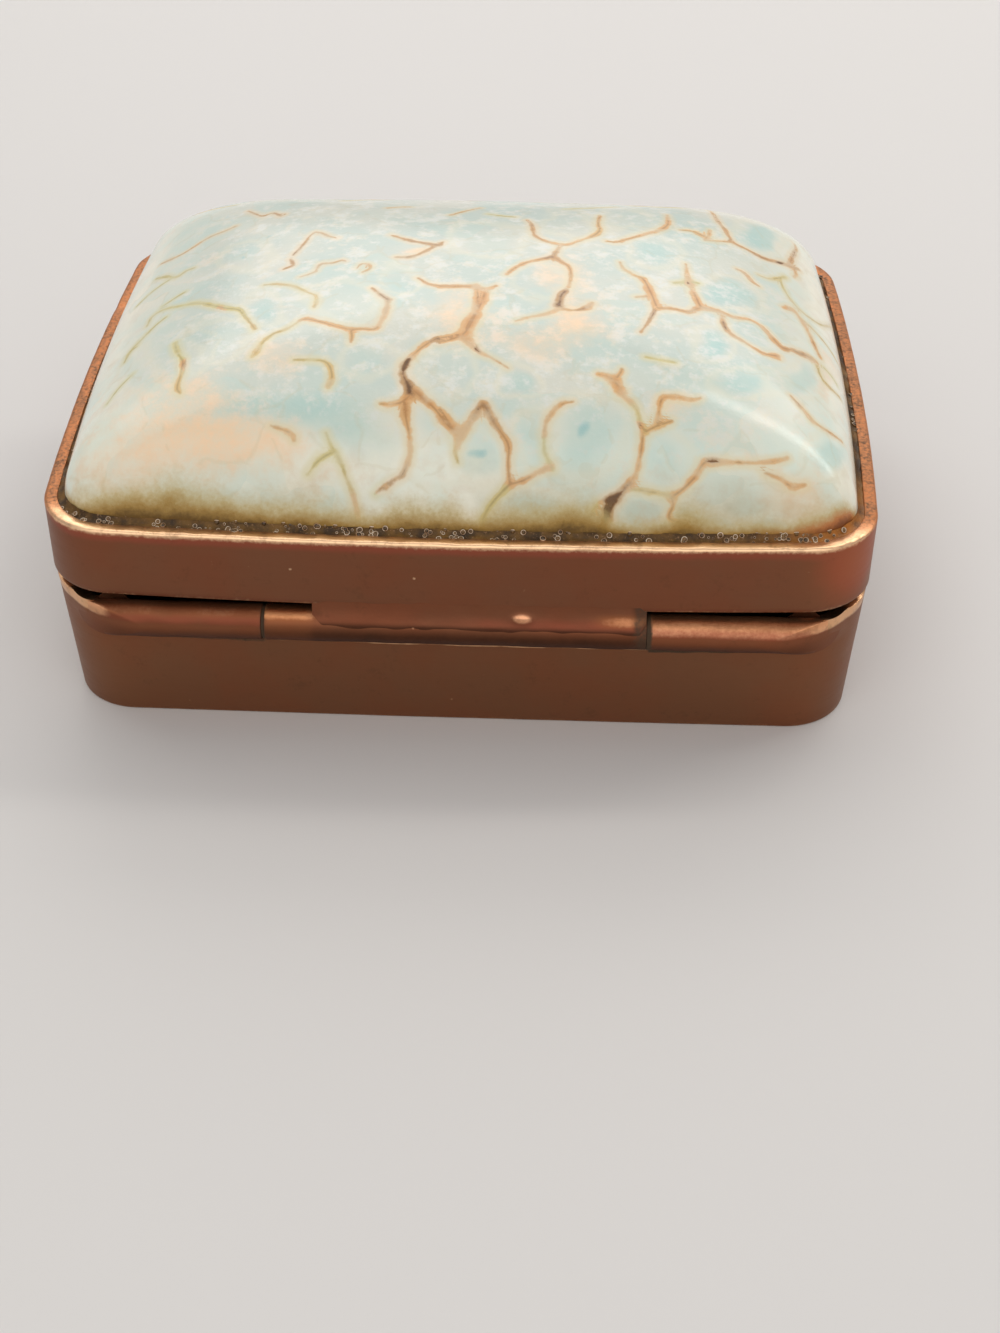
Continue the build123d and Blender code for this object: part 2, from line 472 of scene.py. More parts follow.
class Finish(NodeMaker):
    """A material being built round one Principled shader."""

    def __init__(self, name, **constants):
        self.material = bpy.data.materials.new(name)
        self.material.use_nodes = True
        super().__init__(self.material.node_tree)
        self.tree.nodes.clear()
        self.shader = self.tree.nodes.new("ShaderNodeBsdfPrincipled")
        output = self.tree.nodes.new("ShaderNodeOutputMaterial")
        self.tree.links.new(self.shader.outputs[0], output.inputs[0])
        for name, value in constants.items():
            self.shader.inputs[name.replace("_", " ").title().replace("Ior", "IOR")].default_value = value

    def place(self):
        """Position on the piece itself, in metres."""
        return self.node("ShaderNodeTexCoord")["Object"]

    def height(self):
        """Height above the table, in metres."""
        return self.node("ShaderNodeSeparateXYZ", inputs={"Vector": self.place()})["Z"]

    def attribute(self, name, output="Fac"):
        """A number or a vector painted on the vertices of the piece."""
        return self.node("ShaderNodeAttribute", {"attribute_name": name})[output]

    def noise(self, size, detail=3.0, roughness=0.5, seed=0.0, stretch=(1, 1, 1), output="Fac"):
        """Soft noise from 0 to 1 with bumps of about that size in metres."""
        scale = [factor / size for factor in stretch]
        inputs = {"Vector": self.place(), "Location": (seed, seed, seed), "Scale": scale}
        moved = self.node("ShaderNodeMapping", inputs=inputs)["Vector"]
        inputs = {"Vector": moved, "Scale": 1.0, "Detail": detail, "Roughness": roughness}
        return self.node("ShaderNodeTexNoise", {"noise_dimensions": "3D"}, inputs)[output]

    def cells(self, feature, place, size):
        """A pattern of cells of about that size in metres; its outputs are read by name."""
        return self.node("ShaderNodeTexVoronoi", {"feature": feature}, {"Vector": place, "Scale": 1 / size})

    def chance(self, cells):
        """A number from 0 to 1 that is the same all over one cell."""
        return self.node("ShaderNodeSeparateColor", inputs={"Color": cells["Color"]})["Red"]

    def rise(self, value, low, high):
        """0 below low, 1 above high and a soft rise between."""
        inputs = {"Value": value, "From Min": low, "From Max": high}
        return self.node("ShaderNodeMapRange", {"interpolation_type": "SMOOTHSTEP"}, inputs)["Result"]

    def fall(self, value, low, high):
        """1 below low, 0 above high and a soft fall between."""
        return 1 - self.rise(value, low, high)

    def mix(self, first, second, amount):
        """Two colours mixed by an amount from 0 to 1."""
        first, second = ((*c, 1) if isinstance(c, tuple) else c for c in (first, second))
        inputs = {"Factor": amount, "A": first, "B": second}
        return self.node("ShaderNodeMix", {"data_type": "RGBA"}, inputs)["Result"]

    def washes(self, colour, *layers):
        """Lays tones over a colour one after another, each by an amount from 0 to 1."""
        for tone, amount in layers:
            colour = self.mix(colour, tone, amount)
        return colour

    def bump(self, height, distance, strength=1.0):
        """A normal bent as if the surface rose by that distance where the height is 1."""
        inputs = {"Height": height, "Distance": distance, "Strength": strength}
        return self.node("ShaderNodeBump", inputs=inputs)["Normal"]

    def feed(self, **values):
        """Links values to the shader's sockets and hands back the material."""
        for name, value in values.items():
            self.tree.links.new(value.socket, self.shader.inputs[name.replace("_", " ").title()])
        return self.material


print("a mid grey of 128 is", round(linear(128)[0], 3), "in linear light")

# %% [markdown]
# ## Old brass
# The bands have been handled for a hundred years. The flat of a wall is a dull brown satin with a
# reddish cast, the edges that fingers and pockets rub are bright, and small ragged chips have come out
# of the tarnish. Each metal piece carries numbers painted on its vertices: wear is 1 on a rubbed edge and
# also carries painted highlights, dirt gathers in corners and also carries painted shade under and
# between parts, blush and copper redden the metal, and shade darkens it, mostly as painted shade. The
# shader starts from the tarnish and mixes the other tones over it by these numbers, and noise breaks
# every border.

# %% Recipe of the old brass
copper_tone = linear(216, 130, 66)
shade_tone = linear(72, 40, 22)
red_cast_shares = (1.06, 0.93, 0.88)
blush_shares = (1.55, 0.95, 1.1)
chip_spacing = 2 * mm
relief_depth = 0.03 * mm


def tarnish_chips(finish, speckle, drag):
    """Ragged chips in the tarnish, in a few of the cells of a pattern."""
    cells = finish.cells("F1", finish.place(), chip_spacing)
    torn = cells["Distance"] + (speckle - 0.5) * 0.16 + (drag - 0.5) * 0.06
    return finish.fall(torn, 0.0, 0.05) * finish.rise(finish.chance(cells), 0.68, 0.96)


def make_brass(name, clean, tarnish, grime_and_shade, seed, gloss=0.46, grit=0.3, worn=0.0):
    """Worn brass of three tones; grit breaks up its wear, and worn adds some wear all over."""
    finish = Finish(name)
    cloud = finish.noise(5 * mm, 4, 0.55, seed)
    blotch = finish.noise(1.4 * mm, 5, 0.6, seed + 3)
    speckle = finish.noise(0.2 * mm, 3, 0.65, seed + 5)
    drag = finish.noise(0.16 * mm, 2, 0.5, seed + 7, stretch=(0.04, 0.04, 1.0))
    pits = finish.noise(0.5 * mm, 3, 0.6, seed + 11)

    # Wear stands for rubbed metal and painted highlights, dirt for grime and painted shade.
    wear = finish.attribute("wear") + worn + (blotch - 0.5) * 0.45
    rubbed_and_lit = finish.rise(wear + (speckle - 0.5) * grit, 0.25, 0.9)
    dirt = finish.attribute("dirt") + worn * 0.5 + (blotch - 0.5) * 0.5
    soiled_and_shaded = finish.rise(dirt + (speckle - 0.5) * (grit + 0.3), 0.25, 0.85)
    blush = finish.rise(finish.attribute("blush") + (blotch - 0.5) * 0.6, 0.2, 1.1)
    fleck = finish.rise(blotch + speckle * 0.5, 0.84, 1.0)

    # Clean metal stands for wear and painted highlights; the grime tone for dirt and painted shade.
    colour = finish.washes(
        tarnish,
        (tinted(tarnish, red_cast_shares), finish.rise(cloud, 0.36, 0.68)),
        (tinted(tarnish, blush_shares), blush * 0.8),
        (clean, rubbed_and_lit),
        (tarnish, rubbed_and_lit * finish.rise(pits, 0.5, 0.68) * 0.32),
        (copper_tone, finish.attribute("copper") * (0.66 + rubbed_and_lit * 0.3)),
        (shade_tone, finish.attribute("shade") * (0.7 + blotch * 0.4)),
        (grime_and_shade, fleck * 0.16),
        (grime_and_shade, soiled_and_shaded),
        (clean, tarnish_chips(finish, speckle, drag) * 0.55),
    )

    shine = gloss + (cloud - 0.5) * 0.12 + (drag - 0.5) * 0.1 - rubbed_and_lit * 0.14 + soiled_and_shaded * 0.25
    metal = 0.8 + rubbed_and_lit * 0.2 - soiled_and_shaded * 0.5
    relief = speckle * 0.3 + drag * 0.25 + blotch * 0.8 + rubbed_and_lit * pits * 1.6
    normal = finish.bump(relief, relief_depth, 0.5)
    return finish.feed(base_color=colour, roughness=shine, metallic=metal, normal=normal)


print("a blushed tarnish is", blush_shares[0], "times as red")

# %% [markdown]
# ## Finishes of the metal pieces
# One recipe serves every metal piece: only its tones, its gloss and its seed change. The inside was
# gilt and hardly touched, so it is brighter and worn evenly all over. The pin is steel wire.

# %% Brass finishes
# The grime tone also paints shade where the dirt number carries painted shade.
grime_and_shade_tone = linear(74, 54, 34)
lid_brass = make_brass("lid_brass", linear(254, 212, 168), linear(127, 81, 56), grime_and_shade_tone, 1.0, grit=0.7)
base_brass = make_brass("base_brass", linear(226, 176, 132), linear(132, 87, 59), grime_and_shade_tone, 5.0)
hinge_brass = make_brass("hinge_brass", linear(236, 176, 132), linear(134, 82, 54), grime_and_shade_tone, 9.0)
solder_metal = make_brass("solder_metal", linear(226, 164, 124), linear(124, 75, 50), grime_and_shade_tone, 15.0, 0.45)
gilt_tones = (linear(214, 178, 118), linear(170, 126, 78), linear(104, 74, 42))
gilt_brass = make_brass("gilt_brass", *gilt_tones, 13.0, gloss=0.34, grit=0.5, worn=0.42)
pin_steel = make_brass("pin_steel", linear(150, 140, 130), linear(84, 74, 64), grime_and_shade_tone, 21.0, 0.4)
print("finishes so far", [material.name for material in bpy.data.materials])

# %% [markdown]
# ## Bands of sheet metal
# The lid's band and the base's band were bent up from strip and filed by hand. So a profile is carried
# round the outline, and every point is then pushed in by a hair where smooth noise says so.
# Edges are drawn with a small arc, which catches the light as the worn rim does.

# %% Band helpers
band_points = (90, 36, 50)
band_dent = 0.05 * mm
large_dent_size = 9 * mm
small_dent_size = 2.5 * mm
probe = 0.2 * mm


def rounded_edge(inset, height, radius_in, radius_up, first, last, steps=5):
    """Profile points round an edge about a centre, from one angle to another."""
    angles = np.radians(np.linspace(first, last, steps))
    return [(inset - radius_in * math.cos(a), height + radius_up * math.sin(a)) for a in angles]


def make_band(name, profile, outline_at, seed):
    """Carries a profile of insets and heights round an outline, with hand-made dents."""
    loops = []
    for inset, height in profile:
        flat = outline_at(inset, height)
        inward = (outline_at(inset + probe, height) - flat) / probe
        points = lift(flat, height)
        hollow = grain(points, large_dent_size, seed) * 0.7 + grain(points, small_dent_size, seed + 4) * 0.3
        loops.append(lift(flat + inward * (band_dent * hollow)[:, None], height))
    return mesh_from_loops(name, loops, closed_profile=True)


print("points round a band", 4 * sum(band_points))

# %% [markdown]
# ## Band of the lid
# The lid's band is the bezel that holds the stone. Its profile starts at the foot, climbs the outside,
# turns over the rim and comes down inside to the plate. The rim is drawn a little higher than the
# solid's, because the photograph shows it standing over the cement.

# %% Band of the lid
lid_round = 0.2 * mm
foot_round = 0.08 * mm
rim_lift = 0.2 * mm
rim_level = lid_high.z + rim_lift
wall_shares = (0.08, 0.18, 0.3, 0.42, 0.54, 0.66, 0.78, 0.88)
inner_edge = wall_thickness - foot_round

lid_profile = rounded_edge(foot_round, lid_low.z + foot_round, foot_round, foot_round, -90, 0, 3)
lid_profile += [(0, lid_low.z + (rim_level - lid_low.z) * share) for share in wall_shares]
lid_profile += rounded_edge(lid_round, rim_level - lid_round, lid_round, lid_round, 0, 90, 6)
lid_profile += [(wall_thickness / 2, rim_level)]
lid_profile += rounded_edge(inner_edge, rim_level - foot_round, -foot_round, foot_round, 90, 0, 3)
lid_profile += [(wall_thickness, plate_high.z), (wall_thickness, plate_low.z)]
lid_profile += [(wall_thickness, lid_low.z + foot_round), (inner_edge, lid_low.z)]
lid_mesh = make_band("lid_band", lid_profile, lambda inset, height: lid_outline(inset, band_points), 2.0)
print("points in the lid's profile", len(lid_profile))

# %% [markdown]
# ## Nick and file marks on the rim
# A nick was knocked into the rim on the left, and the rim was filed level by hand. Both could be
# sculpted. Here the vertices near the rim are simply lowered, by a soft round dip where the photograph
# shows the nick and by fine noise along the rest.

# %% Nick and file marks on the rim
nick_place_px = (118, 305)
nick_reach = 0.45 * mm
nick_depth = 0.12 * mm
file_mark_size = 0.7 * mm
file_mark_depth = 0.07 * mm
nick_place = seen_on_plane(nick_place_px, 2, rim_level)
places = vertex_places(lid_mesh)
near_nick = np.exp(-(((places - nick_place) / nick_reach) ** 2).sum(1))
near_nick *= rise(places[:, 2], rim_level - 0.4 * mm, rim_level)
places[:, 2] -= nick_depth * near_nick
filed_rim = rise(places[:, 2], rim_level - 0.25 * mm, rim_level) * grain(places, file_mark_size, 11.0)
places[:, 2] -= file_mark_depth * filed_rim
move_vertices(lid_mesh, places)
print("the nick is at", np.round(nick_place / mm, 1), "mm")

# %% [markdown]
# ## Wear, painted highlight and painted reflection of the lid
# Along the hinge side, which faces the camera, the rim is painted bright, as rubbed metal and as a
# painted highlight. Along the other sides it is pitted and coppery. A painted red reflection sits on the
# wall at the right corner. Each painted number is a soft band below the rim, stronger or weaker by side.

# %% Wear, painted highlight and painted reflection of the lid
def below_rim(places, start_mm, end_mm):
    """Rises from 0 to 1 between two depths under the lid's rim, in millimetres."""
    return rise(places[:, 2], rim_level - start_mm * mm, rim_level - end_mm * mm)


# The rim on the hinge side, which faces the camera, is painted brighter, as wear and as a painted highlight.
hinge_side = rise(-places[:, 1], 13 * mm, 15.5 * mm)
rubbed_foot = 0.42 * fall(places[:, 2], lid_low.z, lid_low.z + 0.25 * mm)
# A painted red reflection on the wall at the right corner, carried by the blush and copper numbers.
painted_red_reflection = glow(places, by_right_corner(0.6 * mm, 0.6 * mm, rim_level - 1.2 * mm), 2.4 * mm)
paint(
    lid_mesh,
    wear=np.maximum(below_rim(places, 0.34, 0.1) * (0.5 + 0.5 * hinge_side), rubbed_foot),
    dirt=below_rim(places, 0.2, 0.05) * (0.5 - 0.44 * hinge_side),
    blush=np.maximum(below_rim(places, 1.0, 0.35) * (0.35 + 0.65 * hinge_side), painted_red_reflection * 1.5),
    copper=np.maximum(below_rim(places, 0.3, 0.1) * (0.9 - 0.82 * hinge_side), painted_red_reflection * 0.3),
)
add_piece("lid_band", finish_mesh(lid_mesh), "lid", "lid_brass", lid_brass, "lid_wall")

# %% [markdown]
# ## Band of the base
# The hinge's tube is let into the base along its top on the hinge side, so the band has a round seat
# there. The band is carried round first, as a fine even mesh, with its levels closest where the
# tube will lie. The seat is cut later, so the even mesh stays on both sides of the cut.

# %% Band of the base
top = base_high.z
foot_edge = 0.12 * mm
wall_levels = np.linspace(0.5 * mm, top - 0.2 * mm, 34)
close_levels = np.linspace(4.95 * mm, 5.5 * mm, 16)
base_profile = rounded_edge(foot_edge, foot_edge, foot_edge, foot_edge, -90, 0, 4)
base_profile += [(0, height) for height in sorted([*wall_levels, *close_levels])]
base_profile += rounded_edge(foot_round, top - foot_round, foot_round, foot_round, 0, 90, 3)
base_profile += [(base_thickness, level) for level in (top, collar_low.z, top / 3, 0)]
base_mesh = make_band(
    "base_band", base_profile, lambda inset, height: base_outline(inset, height, band_points), 6.0
)
print("points in the base's profile", len(base_profile))

# %% [markdown]
# ## Filed corners of the hinge
# The ends of the hinge were filed round with the corners of the base, on one arc seen from above. The
# wall swells a hair out to that arc beside the tube, dips at the corner and runs in under the tube.
# The same arc shapes the ends of the knuckles later, so it has a function of its own.

# %% Filed corners of the hinge
file_centre_x = 15.5 * mm
file_centre_y = 11.6 * mm
file_radius = 5.5 * mm
file_proud = 0.03 * mm
file_dip = 0.36 * mm


def beside_and_behind(places):
    """How far places lie outwards of the middle of the file's arc, along the hinge and across it."""
    return np.abs(places[:, 0]) - file_centre_x, -places[:, 1] - file_centre_y


def filing(places):
    """How far places lie inside the filed arc, and how much of the corner they belong to."""
    beside, behind = beside_and_behind(places)
    inside = file_radius - np.hypot(beside, behind)
    corner = rise(beside, 2.2 * mm, 3.4 * mm) * rise(behind, 1.4 * mm, 2.4 * mm)
    return inside, corner


def over_pin(places, start_mm, end_mm):
    """Rises from 0 to 1 between two heights over the pin, in millimetres."""
    return rise(places[:, 2], pin_z + start_mm * mm, pin_z + end_mm * mm)


places = vertex_places(base_mesh)
inside, corner = filing(places)
swell = np.clip(inside + file_proud, 0, 1 * mm) * corner * over_pin(places, -1.1, 0.2)
outward = places[:, :2] - np.sign(places[:, :2]) * (file_centre_x, file_centre_y)
outward /= np.maximum(np.linalg.norm(outward, axis=1), 1e-9)[:, None]
on_outside = inside < base_thickness * 0.8
places[:, :2] += outward * (swell * on_outside)[:, None]
places[:, 2] -= file_dip * corner * rise(places[:, 2], pin_z + 0.1 * mm, top - 0.1 * mm)
beside, behind = beside_and_behind(places)
run_in = rise(beside, 2.4 * mm, 3.0 * mm) * fall(beside, 3.2 * mm, 4.3 * mm) * (behind > 2 * mm)
tube_top = pin_z + np.sqrt(np.clip(tube_radius**2 - (places[:, 1] - pin_y) ** 2, (0.5 * mm) ** 2, None))
places[:, 2] -= np.maximum(places[:, 2] - tube_top, 0) * run_in
move_vertices(base_mesh, places)
print("the corners swell by up to", round(swell.max() / mm, 3), "mm")

# %% [markdown]
# ## Cutting with Boolean modifiers
# A Boolean modifier takes one closed mesh away from another. It works on objects, so a helper makes
# them for a moment, reads the result as a plain mesh and clears them away again.

# %% Cutting helpers
def cylinder_mesh(radius, left, right, count=96):
    """A cylinder on the hinge's axis, for cutting."""
    angles = np.linspace(0, 2 * math.pi, count, endpoint=False)
    y = pin_y + radius * np.cos(angles)
    z = pin_z + radius * np.sin(angles)
    ring = np.column_stack([np.zeros(count), y, z])
    return finish_mesh(mesh_from_loops("cutter", [ring + (left, 0, 0), ring + (right, 0, 0)]))


def block_mesh(low_corner, high_corner):
    """A block between two corners, for cutting."""
    (x0, y0, z0), (x1, y1, z1) = low_corner, high_corner
    ring = np.array([(x0, y0), (x1, y0), (x1, y1), (x0, y1)])
    return finish_mesh(mesh_from_loops("cutter", [lift(ring, z0), lift(ring, z1)]))


def cut(mesh, *cutters):
    """Takes closed cutter meshes away from a closed mesh with Boolean modifiers."""
    subject = bpy.data.objects.new("subject", mesh)
    scene.collection.objects.link(subject)
    tools = []
    for cutter in cutters:
        tool = bpy.data.objects.new("tool", cutter)
        scene.collection.objects.link(tool)
        modifier = subject.modifiers.new("cut", "BOOLEAN")
        modifier.operation = "DIFFERENCE"
        modifier.solver = "EXACT"
        modifier.object = tool
        tools.append(tool)
    result = bpy.data.meshes.new_from_object(subject.evaluated_get(bpy.context.evaluated_depsgraph_get()))
    for leftover in [subject, *tools]:
        bpy.data.objects.remove(leftover)
    return result

# %% [markdown]
# ## Seat of the hinge
# The outer knuckles lie tight in a seat of their own radius. The middle one turns, so its seat is wider
# by the play. Above each cylinder a block opens the cut upwards, as the tube was laid in from above.

# %% Seat of the hinge
knuckle_play = 0.15 * mm
seat_radius = tube_radius + 0.01 * mm
swing_radius = tube_radius + knuckle_play
swing_end = outer_low.x
seat_end = 18.5 * mm
shaft_top = top + 2 * mm


def shaft(radius, end):
    """A block that opens a seat upwards."""
    return block_mesh((-end, pin_y - radius, pin_z), (end, pin_y + radius, shaft_top))


seat = cylinder_mesh(seat_radius, -seat_end, seat_end)
swing = cylinder_mesh(swing_radius, -swing_end, swing_end)
base_mesh = cut(base_mesh, seat, swing, shaft(seat_radius, seat_end), shaft(swing_radius, swing_end))
print("base after the cuts", len(base_mesh.polygons), "faces")

# %% [markdown]
# ## Wear, dirt and painted shade of the base
# The cut makes new vertices, so the base is painted after it. The edge of the wide seat is chipped
# bright and the filed corner rubbed bright. Dirt and painted shade sit under the outer knuckles, and dirt
# in four small spots. The right corner on the hinge side is painted lighter.

# %% Wear, dirt and painted shade of the base
dirt_spots_px = ((825, 640), (800, 646), (262, 636), (118, 621))
places = vertex_places(base_mesh)
corner = filing(places)[1]
from_axis = np.hypot(places[:, 1] - pin_y, places[:, 2] - pin_z)
at_middle = np.abs(places[:, 0]) < swing_end
from_seat = from_axis - np.where(at_middle, swing_radius, seat_radius)
beside_seat = np.where(places[:, 1] < pin_y + tube_radius, from_seat, 1)

seat_edge = fall(beside_seat, 0.1 * mm, 0.16 * mm)
wear = np.maximum(fall(places[:, 2], 0, 0.3 * mm), rise(places[:, 2], top - 0.12 * mm, top)) * 0.5
wear = np.maximum(wear, corner * over_pin(places, 0.12, 0.5))
from_right = np.exp(-(((places[:, 0] - half_length) / (1.6 * mm)) ** 2))
wear = np.maximum(wear, 0.36 * (from_right * rise(-places[:, 1], 12 * mm, 15 * mm)))
chipped = rise(grain(places, 2.2 * mm, 12.0), 0.4, 0.56)

# Under the outer knuckles the wall is painted dark: dirt in the crevice together with painted shade under
# the tube.
under_tube = rise(pin_z - places[:, 2], 0, 0.3 * mm)
ragged = 0.12 * mm * (grain(places, 1.1 * mm, 14.0) - 0.5)
crevice_dirt_and_shade = fall(beside_seat + ragged, 0.36 * mm, 0.5 * mm)
crevice_dirt_and_shade *= np.where(places[:, 0] > 0, 0.85, 0.6) * fall(np.abs(places[:, 0]), 14 * mm, 17.5 * mm)
crevice_dirt_and_shade = np.where(at_middle, 0.0, crevice_dirt_and_shade) * under_tube
for dirt_spot_px in dirt_spots_px:
    near_spot = fall(from_sight_line(places, *dirt_spot_px), 0.1 * mm, 0.5 * mm)
    crevice_dirt_and_shade = np.maximum(crevice_dirt_and_shade, 0.62 * near_spot * (places[:, 1] < 0))
paint(base_mesh, wear=np.maximum(wear, seat_edge * (0.4 + 0.6 * chipped) * at_middle), dirt=crevice_dirt_and_shade)
add_piece("base_band", finish_mesh(base_mesh), "base", "base_brass", base_brass, "base_wall")

# %% [markdown]
# ## The hinge
# Three lengths of drawn tube turn on a wire. The outer two sit in the base, and their ends were filed
# round with the corners, which leaves a bright edge. The middle one turns with the lid.
# A tube is a row of rings, and a filed end is a ring whose points stop at the arc of the file.

# %% Rings of a tube
ring_points = 72
ring_angles = np.linspace(0, 2 * math.pi, ring_points, endpoint=False)
bore_radius = pin_radius + 0.03 * mm
end_round = 0.07 * mm
end_step = 0.02 * mm
unevenness = 0.012 * mm


def tube_ring(radius, along):
    """One ring of a tube; along gives its place on the axis, the same for all points or one for each."""
    y = pin_y + radius * np.cos(ring_angles)
    z = pin_z + radius * np.sin(ring_angles)
    return np.column_stack([np.zeros(ring_points) + along, y, z])


def filed_end(radius):
    """Where a ring of this radius meets the filed arc, for each of its points."""
    behind = np.abs(pin_y + radius * np.cos(ring_angles)) - file_centre_y
    return file_centre_x + np.sqrt(np.maximum(file_radius**2 - behind**2, (0.4 * mm) ** 2))


def drawn_radius(share, seed):
    """Radius of a hand-fitted tube, never larger than the real one."""
    return tube_radius - unevenness * (1.25 + math.sin(share * 17 + seed))


print("points in a ring", len(tube_ring(tube_radius, 0)))

# %% [markdown]
# ## Outer knuckles
# Both outer knuckles are one shape, mirrored, but the light and the years left them different. So one
# function makes the rings, and another paints them from a short list of numbers for each side.

# %% Outer knuckles
bore_depth = 3 * mm
# For each side: how bright the crest is, as wear and painted highlight; the painted sheen on the body;
# blush; copper; how high the painted shade under the tube reaches; the dirt in the joint; and a darkening
# painted on the body.
right_look = dict(rub=0.12, sheen=0.42, blush=0.9, copper=0.3, low_end=0.25, joint=0.75, dull=0.0)
left_look = dict(rub=0.22, sheen=0.04, blush=0.7, copper=0.1, low_end=0.45, joint=0.45, dull=0.3)


def outer_knuckle_mesh(name, side):
    """Rings from the bottom of the bore, out over the joint face, along the tube and over the filed end."""
    start = outer_low.x
    rings = [tube_ring(bore_radius, start + bore_depth), tube_ring(bore_radius, start)]
    rings.append(tube_ring(tube_radius - end_round, start))
    rings.append(tube_ring(tube_radius - end_round * 0.3, start + end_step))
    for share in np.linspace(0.01, 0.985, 44):
        radius = drawn_radius(share, side)
        rings.append(tube_ring(radius, start + (filed_end(radius) - start) * share))
    for share in (0.96, 0.8, 0.6, 0.4, 0.2):
        radius = tube_radius * share
        rings.append(tube_ring(radius, filed_end(radius)))
    return mesh_from_loops(name, [ring * (side, 1, 1) for ring in rings])


def paint_outer_knuckle(mesh, look):
    """A bright filed edge, a crest worn bright and painted as a highlight, painted sheen on the body, dirt
    in the joint, dirt with painted shade under the tube, and painted shadow with dirt behind it under the
    lid.
    """
    places = vertex_places(mesh)
    along = np.abs(places[:, 0])
    from_file_centre = np.hypot(*beside_and_behind(places))
    filed = rise(from_file_centre, file_radius - 0.12 * mm, file_radius - 0.02 * mm)
    filed *= rise(along, 17 * mm, 18.5 * mm)
    # The crest is painted bright as wear and as a painted highlight; the body below it gets a painted sheen.
    crest = over_pin(places, 0.55, 0.8)
    body = over_pin(places, 0.12, 0.46)
    # Under the tube: painted shade with dirt. Behind it, under the lid's edge: painted shadow with dirt.
    underside_dirt_and_shade = 1 - over_pin(places, -0.65, look["low_end"])
    dirt_and_shadow_under_lid = rise(places[:, 1], pin_y - 0.3 * mm, pin_y + 0.1 * mm)
    joint = look["joint"] * fall(along, outer_low.x, outer_low.x + 0.25 * mm)
    fade = fall(along, 17 * mm, 19 * mm)
    dull = look["dull"] * body * (1 - crest)
    rubbed_and_lit = 0.06 + look["rub"] * crest + look["sheen"] * body
    paint(
        mesh,
        wear=np.maximum(rubbed_and_lit, filed * over_pin(places, 0.1, 0.5)),
        blush=look["blush"] * (1 - 0.6 * crest) * body,
        copper=look["copper"] * crest,
        dirt=np.maximum.reduce([0.3 * underside_dirt_and_shade, 0.36 * dirt_and_shadow_under_lid, joint]) * fade,
        shade=0.8 * underside_dirt_and_shade * (0.35 + 0.65 * fade) + 0.25 * dirt_and_shadow_under_lid * fade + dull,
    )


for knuckle_name, side, look in (("left_knuckle", -1, left_look), ("right_knuckle", 1, right_look)):
    knuckle_mesh = outer_knuckle_mesh(knuckle_name, side)
    paint_outer_knuckle(knuckle_mesh, look)
    solid_name = knuckle_name.replace("knuckle", "hinge_knuckle")
    add_piece(knuckle_name, finish_mesh(knuckle_mesh, 50), "base", "hinge_brass", hinge_brass, solid_name)

# %% [markdown]
# ## Centre knuckle
# The middle tube carries the lid, so its profile is closed through the bore and it rides on the lid.
# Its left end is bare, since the solder stops short of it, and there it is the most coppery.

# %% Centre knuckle
half_centre = centre_high.x
edge = [(half_centre, tube_radius - end_round), (half_centre - end_step, tube_radius - end_round * 0.3)]
tube = [(half_centre * share, drawn_radius(share, 4)) for share in np.linspace(-0.99, 0.99, 70)]
bore = [(half_centre, bore_radius), (-half_centre, bore_radius)]
tube_profile = [(-along, radius) for along, radius in edge] + tube + edge[::-1] + bore
centre_rings = [tube_ring(radius, along) for along, radius in tube_profile]
centre_mesh = mesh_from_loops("centre_knuckle", centre_rings, closed_profile=True)

places = vertex_places(centre_mesh)
# The crest is painted bright, as wear and as a painted highlight, most where the tube is bare.
crest = over_pin(places, 0.5, 0.82)
bare = fall(places[:, 0], solder_low.x - 0.3 * mm, solder_low.x + 0.3 * mm)
# The lower part of the tube is painted dark: painted shade with a little dirt.
underside_dirt_and_shade = 1 - over_pin(places, -0.1, 0.62)
joint = fall(half_centre - np.abs(places[:, 0]), 0, 0.25 * mm)
right_end = rise(places[:, 0], solder_high.x - 0.5 * mm, solder_high.x + 0.4 * mm)
paint(
    centre_mesh,
    wear=0.1 + crest * (0.2 + 0.4 * bare),
    copper=bare * (0.12 + 0.4 * crest),
    dirt=np.maximum.reduce([0.2 * underside_dirt_and_shade, 0.5 * joint, 0.6 * right_end]),
    shade=np.maximum(underside_dirt_and_shade * (1 - 0.3 * bare), 0.3 * right_end),
)
centre_mesh = finish_mesh(centre_mesh, 50)
add_piece("centre_knuckle", centre_mesh, "lid", "hinge_brass", hinge_brass, "centre_hinge_knuckle")

# %% [markdown]
# ## Dirt in the joints
# Between two knuckles the joint is full of dry dirt, which shows as a thin dark ring. It is a short
# tube of its own that stands for no solid. It rides on the base, because the dirt stays in the seat.

# %% Dirt in the joints
def joint_dirt_mesh(name, side, radius, shade):
    """A short ring of dirt that fills the joint between two knuckles."""
    near = centre_high.x + 0.01 * mm
    far = outer_low.x + 0.02 * mm
    crown = (radius + 0.01 * mm, (near + far) / 2)
    profile = [(bore_radius, near), (radius, near), crown, (radius, far), (bore_radius, far)]
    rings = [tube_ring(size, side * along) for size, along in profile]
    mesh = mesh_from_loops(name, rings, closed_profile=True)
    paint(mesh, dirt=0.9, shade=shade)
    return finish_mesh(mesh, 50)


left_dirt = joint_dirt_mesh("left_joint_grime", -1, tube_radius - 0.1 * mm, 1.0)
right_dirt = joint_dirt_mesh("right_joint_grime", 1, tube_radius - 0.02 * mm, 0.5)
add_piece("left_joint_grime", left_dirt, "base", "hinge_brass", hinge_brass)
add_piece("right_joint_grime", right_dirt, "base", "hinge_brass", hinge_brass)

